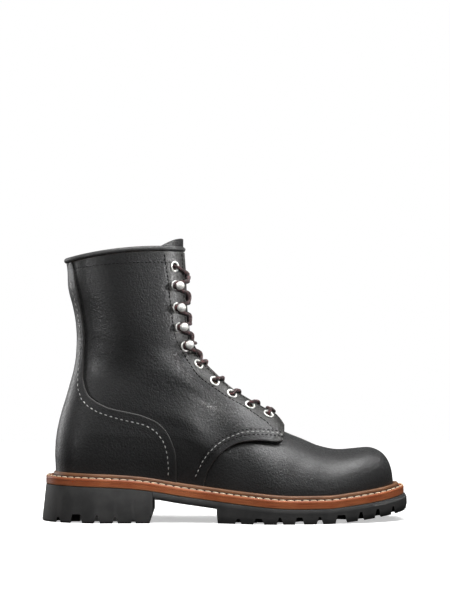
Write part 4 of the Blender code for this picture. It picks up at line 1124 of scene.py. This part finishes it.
def sole_rubber():
    """Dark moulded rubber, a little dusty."""
    finish = Finish("moulded_rubber", IOR=1.5, Specular_IOR_Level=0.35)
    mottle, grit = finish.noise(60.0, 4.0, 0.6), finish.noise(900.0, 3.0, 0.6)
    finish.feed(
        Base_Color=finish.blend(mottle.above(0.3, 0.75), (0.034, 0.034, 0.034), (0.056, 0.055, 0.054)),
        Roughness=0.62 + 0.2 * (mottle - 0.5) + 0.15 * (grit - 0.5),
        Normal=finish.bump(grit, 0.25, 0.00025, finish.bump(mottle, 0.1, 0.0006)),
    )
    return finish


RUBBER = sole_rubber()


def cutter_solid(points, faces):
    thing = new_object("cutter", points, faces)
    face_out(thing)
    return thing


def side_prism(outline, near=-FAR, far=FAR):
    """A block with an outline in the side view, from one y to another."""
    count = len(outline)
    points = [(x, y, z) for y in (near, far) for x, z in outline]
    faces = [tuple(range(count)), tuple(range(2 * count - 1, count - 1, -1))]
    faces += [(i, count + i, count + (i + 1) % count, (i + 1) % count) for i in range(count)]
    return cutter_solid(points, faces)


def shape_by(thing, cutter, operation="DIFFERENCE"):
    """Joins, cuts or trims by another solid, which is used up."""
    apply_modifier(thing, "BOOLEAN", object=cutter, operation=operation, solver="MANIFOLD")
    bpy.data.objects.remove(cutter)


def sides_at(plan, x):
    """The outer and inner y of a plan at x."""
    middle = CENTRE_Y + lean(along_foot(plan[:, 0]))
    found = []
    for on in (plan[:, 1] < middle, plan[:, 1] > middle):
        part = plan[on][np.argsort(plan[on][:, 0])]
        found.append(float(np.interp(x, part[:, 0], part[:, 1])))
    return found


def cut_tread(thing, notches, grooves, floor_z, reach, channel_from, channel_to):
    """Notches, grooves and the channel of one block."""
    for x, foot, top, deep in zip(*(notches[key] for key in ("x", "foot", "top", "deep"))):
        low, high = float(floor_z(x)) - 4, float(floor_z(x)) + deep
        outline = [(x - foot / 2, low), (x + foot / 2, low), (x + foot / 2, low + 4.5), (x + top / 2, high),
                   (x - top / 2, high), (x - foot / 2, low + 4.5)]
        outer, inner = sides_at(sole_plan(reach), x)
        shape_by(thing, side_prism(outline, outer - 10, outer + LUG_REACH))
        shape_by(thing, side_prism(outline, inner - LUG_REACH, inner + 10))
    for x in grooves:
        outer, inner = sides_at(sole_plan(reach - LUG_REACH), x)
        high = float(floor_z(x)) + CHANNEL_DEPTH
        half = GROOVE_WIDTH / 2
        outline = [(x - half, BELOW), (x + half, BELOW), (x + half - 1, high), (x - half + 1, high)]
        shape_by(thing, side_prism(outline, outer, inner))
    reaches = (reach - LUG_REACH + 1, reach - LUG_REACH + 1 - CHANNEL_WIDTH)
    corners = ((0, -4), (0, CHANNEL_DEPTH), (1, CHANNEL_DEPTH), (1, -4))
    loops = [sole_loop(reaches[i], lambda x, rise=rise: floor_z(x) + rise) for i, rise in corners]
    channel = cutter_solid(np.concatenate(loops), ring_faces(len(loops), SOLE_POINTS))
    window = [(channel_from, BELOW), (channel_to, BELOW), (channel_to, ABOVE), (channel_from, ABOVE)]
    shape_by(channel, side_prism(window), "INTERSECT")
    shape_by(thing, channel)


def tread_middle(x):
    return (tread_z(x) + base_z(x)) / 2 - 1.5


layer_edge = [(9.3, -6.0, 1.5), (9.75, -5.2, 1.8), (9.85, -3.0, 1.6), (9.35, -0.7, 1.0), (9.05, 0.0, 0.9)]
layer_loops = [sole_loop(r, over_base(h), t) for r, h, t in layer_edge]
outsole = stack("rubber_outsole", layer_loops, RUBBER)
tread_edge = [(9.6, tread_z, 0.3), (9.95, lambda x: tread_z(x) + 0.8, 0.9), (10.0, tread_middle, 1.8),
              (9.8, over_base(-3.0), 1.7), (9.0, over_base(-2.0), 1.2)]
tread = stack("tread", [sole_loop(r, h, t) for r, h, t in tread_edge], RUBBER)
lean_x = TREAD_START_X - TREAD_LEAN
front = [(TREAD_START_X, BELOW), (FAR, BELOW), (FAR, ABOVE), (lean_x, ABOVE), (lean_x, TREAD_LEAN_TOP)]
shape_by(tread, side_prism(front), "INTERSECT")
cut_tread(tread, TREAD_NOTCHES, TREAD_GROOVES, tread_z, OUTSOLE_REACH, TREAD_START_X + LUG_REACH, FAR)
shape_by(outsole, tread, "UNION")
ahead = [(HEEL_BREAST_X + GAP, BELOW), (FAR, BELOW), (FAR, ABOVE), (HEEL_BREAST_X + GAP, ABOVE)]
shape_by(outsole, side_prism(ahead), "INTERSECT")
heel_edge = [(11.6, level(0)), (12.1, level(0.8)), (12.2, level(2.0)), (9.1, over_base(-0.3)),
             (9.0, over_base(0.0))]
heel = stack("rubber_heel", [sole_loop(r, h, 0.0, HEEL_REACH) for r, h in heel_edge], RUBBER)
breast = [(-FAR, BELOW), (HEEL_BREAST_X - 4, BELOW), (HEEL_BREAST_X - 2, 6.5), (HEEL_BREAST_X, 7),
          (HEEL_BREAST_X, ABOVE), (-FAR, ABOVE)]
shape_by(heel, side_prism(breast), "INTERSECT")
cut_tread(heel, HEEL_NOTCHES, HEEL_GROOVES, level(0), HEEL_FLARE, -FAR, HEEL_BREAST_X - LUG_REACH)
for block, node in ((outsole, "outsole"), (heel, "heel")):
    only(block)
    bpy.ops.object.shade_smooth_by_angle(angle=math.radians(35))
    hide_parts(node)
    print(block.name, "faces:", len(block.data.polygons))

# %% [markdown]
# Each facing carries ten lace holders: an eyelet at the top, four ball hooks and five more eyelets. An
# eyelet is a rolled ring with a barrel that goes through the leather. A hook is a ring-shaped foot with a
# short stem and a ball. Each is modelled once at the origin and then copied to its places.

# %% Lace holders
RING_RADIUS, RING_ROUND, BARREL_RADIUS, BARREL_DEPTH = 3.95, 0.72, 3.2, 1.9
BALL_RADIUS, BALL_HEIGHT, STEM_RADIUS = 3.65, 6.3, 1.25


def polished_nickel():
    """Plated metal with faint scratches and a little tarnish."""
    finish = Finish("polished_nickel", Metallic=0.35, IOR=1.6)
    scratches = finish.noise(1.0, 3.0, 0.6, finish.stretched(900, 2600, 900))
    dull = finish.noise(210.0, 3.0, 0.6)
    finish.feed(
        Base_Color=finish.blend(dull.above(0.45, 0.8), (0.90, 0.89, 0.86), (0.70, 0.68, 0.64)),
        Roughness=0.17 + 0.14 * dull + 0.08 * scratches,
        Normal=finish.bump(scratches, 0.08, 0.00005),
    )
    return finish


def hook_foot_shade():
    """Near-black metal inside a hook's foot: painted shade under the ball."""
    finish = Finish("hook_foot_shade", Metallic=0.6)
    dull = finish.noise(400.0, 3.0, 0.6)
    colour = finish.blend(dull, (0.012, 0.012, 0.012), (0.035, 0.034, 0.032))
    finish.feed(Base_Color=colour, Roughness=0.45 + 0.2 * dull)
    return finish


NICKEL, HOOK_FOOT_SHADE = polished_nickel(), hook_foot_shade()


def shaped(part, finish=NICKEL):
    """Names a fresh primitive's finish and smooths it."""
    part.data.materials.clear()
    part.data.materials.append(finish.material)
    bpy.ops.object.shade_smooth_by_angle(angle=math.radians(40))
    return part


def rolled_ring(radius, round_radius, low):
    """A torus pressed flat along its axis."""
    bpy.ops.object.select_all(action="DESELECT")
    bpy.ops.mesh.primitive_torus_add(
        major_segments=28, minor_segments=10, major_radius=radius * MM, minor_radius=round_radius * MM,
    )
    bpy.ops.object.mode_set(mode="EDIT")
    bpy.ops.mesh.select_all(action="SELECT")
    bpy.ops.transform.resize(value=(1, 1, 0.6))
    bpy.ops.transform.translate(value=(0, 0, low * MM))
    bpy.ops.object.mode_set(mode="OBJECT")
    return shaped(bpy.context.object)


def tube_piece(radius, low, high, closed):
    """A short round wall along the axis, with a lid at both ends if closed."""
    bpy.ops.object.select_all(action="DESELECT")
    fill = "NGON" if closed else "NOTHING"
    bpy.ops.mesh.primitive_cylinder_add(
        vertices=24, radius=radius * MM, depth=(high - low) * MM, end_fill_type=fill,
        location=(0, 0, (low + high) / 2 * MM),
    )
    bpy.ops.object.transform_apply(location=True)
    return shaped(bpy.context.object)


def joined(parts, name):
    bpy.ops.object.select_all(action="DESELECT")
    for part in parts:
        part.select_set(True)
    bpy.context.view_layer.objects.active = parts[0]
    bpy.ops.object.join()
    parts[0].name = name
    return parts[0]


barrel = tube_piece(BARREL_RADIUS, -BARREL_DEPTH, 0.3, False)
apply_modifier(barrel, "SOLIDIFY", thickness=0.3 * MM, offset=1.0)
eyelet_master = joined([rolled_ring(RING_RADIUS, RING_ROUND, 0.25), barrel], "eyelet_master")
bpy.ops.object.select_all(action="DESELECT")
bpy.ops.mesh.primitive_uv_sphere_add(
    segments=24, ring_count=14, radius=BALL_RADIUS * MM, location=(0, 0, BALL_HEIGHT * MM),
)
bpy.ops.object.transform_apply(location=True)
ball = shaped(bpy.context.object)
bpy.ops.object.shade_smooth()
# The foot's near-black disc is painted shade under the ball.
foot_disc = shaped(tube_piece(RING_RADIUS - 0.3, -0.6, 0.05, True), HOOK_FOOT_SHADE)
stem = tube_piece(STEM_RADIUS, 0.0, BALL_HEIGHT - 2, False)
hook_master = joined([rolled_ring(RING_RADIUS - 0.2, RING_ROUND, 0.3), foot_disc, stem, ball], "hook_master")
print("eyelet faces:", len(eyelet_master.data.polygons), "hook faces:", len(hook_master.data.polygons))

# %% Setting the holders
for side, word in ((-1, "outer"), (1, "inner")):
    seats = leather(*holder_places[side], QUARTER_STEP)
    axes = face_normal(*holder_places[side])
    counts = {"eyelet": 0, "hook": 0}
    for kind, seat, axis in zip(HOLDERS["kind"], seats, axes):
        counts[kind] += 1
        master = eyelet_master if kind == "eyelet" else hook_master
        copy = bpy.data.objects.new(f"nickel_{kind}_{word}_{counts[kind]}", master.data.copy())
        bpy.context.scene.collection.objects.link(copy)
        turn = Vector(axis).to_track_quat("Z", "Y").to_matrix().to_4x4()
        copy.data.transform(Matrix.Translation(Vector(seat) * MM) @ turn)
        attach(copy, "root")
        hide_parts(f"{kind}_{word}_{counts[kind]}")
for master in (eyelet_master, hook_master):
    bpy.data.objects.remove(master)

# %% [markdown]
# One lace runs the whole way. At the foot a bar joins the two lowest eyelets. From there each half goes
# under its facing, comes up between the facings, crosses to the other side, runs over that edge and into
# the next eyelet from outside. At the hooks it goes round behind the stem and on upwards. Both ends go in
# at the top eyelets. The route is a list of places on the last, drawn through with one smooth curve.

# %% Lace route
LACE_RADIUS = 1.4
LACE_OVER, LACE_UNDER, LACE_IN_HOLE = QUARTER_STEP + 1.55, -2.7, -3.4
CROSSING = dict(v=(0.5, 0.72, 0.80, 0.86, 1.0), low=(-5.0, -5.0, -3.0, -0.9, -0.9),
                high=(-2.6, -2.6, -0.8, 1.3, 1.3))
EDGE_RISE = 0.8


def on_boot(angle, v, offset):
    return leather(np.array([angle]), np.array([v]), [offset])[0]


def facing_edge(side, v):
    """The angle of a facing's free edge at a height."""
    near, heights, _ = THROAT_LINE[0 if side < 0 else 1]
    return float(np.interp(v, heights, near))


def edge_above(side, z):
    """The facing edge's angle and v at a height over the floor."""
    near, heights, places = THROAT_LINE[0 if side < 0 else 1]
    return float(np.interp(z, places[:, 2], near)), float(np.interp(z, places[:, 2], heights))


def round_hook(angle, v):
    """Three places round a hook's stem: below, behind and above it."""
    seat, axis = on_boot(angle, v, 0.0), face_normal(np.array([angle]), np.array([v]))[0]
    up = on_boot(angle, v + 0.01, 0.0) - seat
    up /= np.linalg.norm(up)
    back = np.cross(axis, up)
    back *= -np.sign(back[0])
    middle = seat + axis * (QUARTER_STEP + 2.4)
    reach = STEM_RADIUS + LACE_RADIUS
    return [middle - up * reach - back * 0.6, middle + back * reach, middle + up * reach - back * 0.6]


def half_route(start_side, over_first):
    """From the bar at the foot to a top eyelet, crossing at every step."""
    side = start_side
    heights = holder_places[side][1]
    foot = len(heights) - 1
    angle, v = edge_above(side, HOLDERS["z"][foot] + EDGE_RISE + 2.0)
    route = [on_boot(angle, v, LACE_OVER)]
    angle = holder_places[side][0][foot]
    route += [on_boot(angle, heights[foot], LACE_OVER - 0.5), on_boot(angle, heights[foot], LACE_IN_HOLE)]
    over = over_first
    for k in range(foot, 0, -1):
        v, above = heights[k], heights[k - 1]
        gap = above - v
        low_edge = facing_edge(side, v + 0.25 * gap)
        hooked = HOLDERS["kind"][k] == "hook"
        route.append(on_boot(low_edge, v + 0.25 * gap, LACE_OVER - 0.2 if hooked else LACE_UNDER))
        cross = through(CROSSING["v"], CROSSING["high" if over else "low"], [v + 0.5 * gap])[0]
        route.append(on_boot(math.pi, v + 0.5 * gap, float(cross)))
        side, over = -side, not over
        angle = holder_places[side][0][k - 1]
        if HOLDERS["kind"][k - 1] == "hook":
            route.append(on_boot(facing_edge(side, v + 0.72 * gap), v + 0.72 * gap, LACE_OVER - 0.2))
            route += round_hook(angle, above)
        else:
            lift = EDGE_RISE if k > 1 else -6.0
            edge, edge_v = edge_above(side, HOLDERS["z"][k - 1] + lift)
            inside_edge = edge + 0.35 * (math.pi - edge)
            route.append(on_boot(inside_edge, edge_v - 0.12 * gap, float(cross) * 0.6 - 0.4))
            route.append(on_boot(edge, edge_v, LACE_OVER + 0.1))
            route += [on_boot(angle, above, LACE_OVER - 0.5), on_boot(angle, above, LACE_IN_HOLE)]
    return route


def smooth_route(places, step=0.9):
    """One curve through the places, with a point about every step."""
    places = np.asarray(places)
    ends = np.vstack([2 * places[0] - places[1], places, 2 * places[-1] - places[-2]])
    knots = np.concatenate([[0], np.cumsum(np.linalg.norm(np.diff(ends, axis=0), axis=1) ** 0.5)])
    drawn = []
    for i in range(1, len(ends) - 2):
        count = max(4, int(np.linalg.norm(ends[i + 1] - ends[i]) / step))
        t = np.linspace(knots[i], knots[i + 1], count, endpoint=False)[:, None]
        p0, p1, p2, p3 = ends[i - 1:i + 3]
        k0, k1, k2, k3 = knots[i - 1:i + 3]
        a1 = (k1 - t) / (k1 - k0) * p0 + (t - k0) / (k1 - k0) * p1
        a2 = (k2 - t) / (k2 - k1) * p1 + (t - k1) / (k2 - k1) * p2
        a3 = (k3 - t) / (k3 - k2) * p2 + (t - k2) / (k3 - k2) * p3
        b1 = (k2 - t) / (k2 - k0) * a1 + (t - k0) / (k2 - k0) * a2
        b2 = (k3 - t) / (k3 - k1) * a2 + (t - k1) / (k3 - k1) * a3
        drawn.append((k2 - t) / (k2 - k1) * b1 + (t - k1) / (k2 - k1) * b2)
    return np.vstack(drawn + [places[-1:]])


foot_v = holder_places[-1][1][-1]
bar = [on_boot(math.pi, foot_v + 0.012, 0.4)]
lace_path = smooth_route(half_route(-1, True)[::-1] + bar + half_route(1, False))
print("lace length along the boot:", round(run_along(lace_path)[-1]), "mm in", len(lace_path), "points")

# %% [markdown]
# The lace is a braided cord of waxed cotton, dark brown with a reddish thread in it. Two sets of slanting
# ribs that cross give the braid. They follow the cord, so they use its own length and turn, kept on its
# points.

# %% Lace finish and cord
def braided_cord():
    finish = Finish("braided_lace", IOR=1.45, Specular_IOR_Level=0.35, Sheen_Weight=0.15)
    along, around = finish.read("along"), finish.read("around")
    slant = [(along * 3.4 + around * turn).sine() for turn in (25.133, -25.133)]
    rib = (slant[0] * 0.5 + 0.5) * (slant[1] * 0.5 + 0.5)
    fluff = finish.noise(700.0, 3.0, 0.6)
    red = (along * 0.85 + around * 6.283).sine().above(0.35, 0.9)
    base = finish.blend(red * 0.8, (0.052, 0.019, 0.019), (0.21, 0.058, 0.060))
    finish.feed(
        # Painted shade: the braid is near-black between its ribs.
        Base_Color=finish.blend(rib.above(0.0, 0.5), (0.013, 0.007, 0.007), base),
        Roughness=0.62 + 0.2 * (fluff - 0.5),
        Normal=finish.bump(rib, 0.8, 0.00035, finish.bump(fluff, 0.2, 0.0002)),
    )
    return finish


lace = sweep("boot_lace", lace_path, LACE_RADIUS, braided_cord(), sides=12)
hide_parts("lace")
print("lace faces:", len(lace.data.polygons))

# %% [markdown]
# Inside, the boot is lined with thin undyed leather and has a leather insole board. The photograph doesn't
# show them, so their colour is a guess. The lining is two more panels, just under the outer leather's inner
# face.

# %% Lining and insole
LINING = edge_leather("lining_leather", (0.36, 0.22, 0.12), (0.46, 0.30, 0.17), (0.24, 0.14, 0.07), 0.35, 0.6)
LINING_BACK = 1.0
panel(
    "quarter_lining", LINING, lambda p: -1.05 - nip(p), 0.5,
    lambda p: quarter_cut(p, LINING_BACK), top=ALMOST_TOP,
)
panel(
    "vamp_lining", LINING, -1.95, 0.45, lambda p: vamp_inside(p) - LINING_BACK,
    lifted=False, top=VAMP_TOP_V,
)
INSOLE = edge_leather("insole_board", (0.30, 0.18, 0.095), (0.40, 0.25, 0.14), (0.18, 0.10, 0.05), 0.5, 0.65)
board_edge = [(-2.7, 4.75), (-2.6, 6.8), (-2.9, 7.4), (-3.6, 7.7)]
board_loops = [sole_loop(reach, over_base(rise)) for reach, rise in board_edge]
board = stack("insole_board", board_loops, INSOLE)
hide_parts("insole")
print("insole faces:", len(board.data.polygons))

# %% [markdown]
# Seams are sewn with thick thread. Each stitch shows as a short bead, pressed a little into the leather.
# One bead is modelled from a small sphere and copied along each row at the photograph's pitch: a pale row
# between two dark ones on the quarters, a pale row on the counter, and dark rows at the eyestay, facing
# edges and collar.

# %% Stitch tools
bpy.ops.object.select_all(action="DESELECT")
bpy.ops.mesh.primitive_uv_sphere_add(segments=6, ring_count=5, radius=1.0, rotation=(0, math.pi / 2, 0))
bpy.ops.object.transform_apply(rotation=True)
bead = bpy.context.object
BEAD_POINTS = np.array([tuple(v.co) for v in bead.data.vertices])
BEAD_FACES = [tuple(f.vertices) for f in bead.data.polygons]
bpy.data.objects.remove(bead)


def thread(name, low, high):
    """Twisted waxed thread."""
    finish = Finish(name, IOR=1.45, Specular_IOR_Level=0.3)
    twist, fuzz = finish.noise(1500.0, 2.0, 0.5), finish.noise(70.0, 3.0, 0.6)
    finish.feed(Base_Color=finish.blend(fuzz.above(0.3, 0.7), low, high), Roughness=0.6 + 0.2 * (fuzz - 0.5),
                Normal=finish.bump(twist, 0.4, 0.0002))
    return finish


def between(run, values, at):
    """Three-part values read at a length along a line."""
    return np.array([np.interp(at, run, values[:, k]) for k in range(3)])


def stitches(name, rows, pitch, dash, radius, finish):
    """Beads along rows of places with their outward directions."""
    points, faces = [], []
    for places, outward in rows:
        run = run_along(places)
        for at in np.arange(pitch / 2, run[-1], pitch):
            before, here, after = (between(run, places, at + s) for s in (-0.4, 0.0, 0.4))
            along, out = after - before, between(run, outward, at)
            along /= np.linalg.norm(along)
            out -= along * (out @ along)
            out /= np.linalg.norm(out)
            side = np.cross(out, along)
            turn = np.stack([along * dash / 2, side * radius, out * radius * 0.85])
            faces += [tuple(i + len(points) * len(BEAD_POINTS) for i in f) for f in BEAD_FACES]
            points.append(BEAD_POINTS @ turn + here + out * radius * 0.25)
    thing = mesh_object(name, np.concatenate(points), faces, finish)
    print(name, "stitches:", len(points))
    return thing


def on_panel(lines, rise):
    """Rows of angles and heights laid on a panel's outer face."""
    rows = []
    for a, v in lines:
        base = outer_face(a, v)
        rows.append((leather(a, v, rise(base) - crease_depth(base)), face_normal(a, v)))
    return rows


def beside(line, f, away):
    """A row moved along the face, away from where f falls."""
    a, v = line[0].copy(), line[1].copy()
    for _ in range(4):
        by_a, by_v, _, _ = slope_on_face(f, a, v)
        a, v = a + by_a * away / 4, np.clip(v + by_v * away / 4, 0, ALMOST_TOP)
    return a, v


# %% Stitch rows
PALE_THREAD = thread("pale_thread", (0.38, 0.38, 0.37), (0.58, 0.58, 0.56))
DARK_THREAD = thread("dark_thread", (0.004, 0.004, 0.004), (0.010, 0.010, 0.010))
CREAM_THREAD = thread("cream_thread", (0.72, 0.55, 0.36), (0.88, 0.72, 0.52))
QUARTER_ROW = dict(x=(48.0, 43.3, 30.4, 22.2, 14.0, 7.0, -0.1, -7.1, -13.8, -18.8, -22.9, -24.9),
                   z=(72.7, 74.3, 75.8, 75.8, 75.2, 72.5, 69.6, 64.9, 58.5, 51.2, 42.6, 38.5))
COUNTER_ROW = dict(x=(-130, -126.6, -122.6, -120.4, -119.7, -120.6, -122, -122.4, -119.2, -113.7, -106.2, -97.8,
                      -89.5, -79.7, -70.8, -66.6, -58.2, -52.1, -50, -48.2, -47.2, -47.6),
                   z=(207, 195.7, 179.8, 165, 151.8, 138.4, 125.1, 111.8, 102.3, 96.5, 92, 89.2, 86.8, 84.5,
                      82.6, 81.3, 76.7, 69.1, 64.2, 56.6, 44.2, 40.5))
ROW_APART, FACING_ROW, COLLAR_ROW_V = 2.4, 2.6, 0.972
quarter_rows = [(a, v) for a, v, _ in side_line(QUARTER_ROW["x"], QUARTER_ROW["z"], 240)]
counter_rows = [(a, v) for a, v, _ in side_line(COUNTER_ROW["x"], COUNTER_ROW["z"], 300)]
stay_z = np.linspace(76.5, 226, 200)
stay_rows = [(a, v) for a, v, _ in side_line(through(EYESTAY["z"], EYESTAY["x"], stay_z), stay_z, 240)]
facing_rows = [beside((line[0][30:], line[1][30:]), throat_inside, FACING_ROW) for line in THROAT_LINE]
collar_a = np.linspace(facing_rows[0][0][-1] - 0.25, facing_rows[1][0][-1] - 2 * math.pi + 0.25, 300)
collar_v = np.full(300, COLLAR_ROW_V)
clear = counter_inside(outer_face(collar_a, collar_v)) < -1
collar_rows = [(collar_a[half], collar_v[half]) for half in (clear & (collar_a > 0), clear & (collar_a < 0))]
beside_rows = [beside(row, quarter_inside, away) for row in quarter_rows for away in (-ROW_APART, ROW_APART)]
dark_rows = stay_rows + facing_rows + collar_rows
for name, rows, rise, pitch, dash, radius, finish, slot in (
    ("quarter_thread", quarter_rows, quarter_rise, 4.3, 2.8, 0.38, PALE_THREAD, "lace_cord"),
    ("counter_thread", counter_rows, counter_rise, 4.6, 2.6, 0.40, PALE_THREAD, "lace_cord"),
    ("quarter_dark_thread", beside_rows, quarter_rise, 3.6, 2.6, 0.42, DARK_THREAD, "black_leather"),
    ("eyestay_thread", dark_rows, quarter_rise, 3.5, 2.8, 0.44, DARK_THREAD, "black_leather"),
):
    stitches(name, on_panel(rows, rise), pitch, dash, radius, finish)
welt_row = sole_loop(7.9, over_base(7.35), 0.0, HEEL_REACH)
welt_row = np.concatenate([welt_row, welt_row[:1]])
up = np.tile((0.0, 0.0, 1.0), (len(welt_row), 1))
stitches("welt_thread", [(welt_row, up)], 6.5, 5.4, 0.75, CREAM_THREAD)
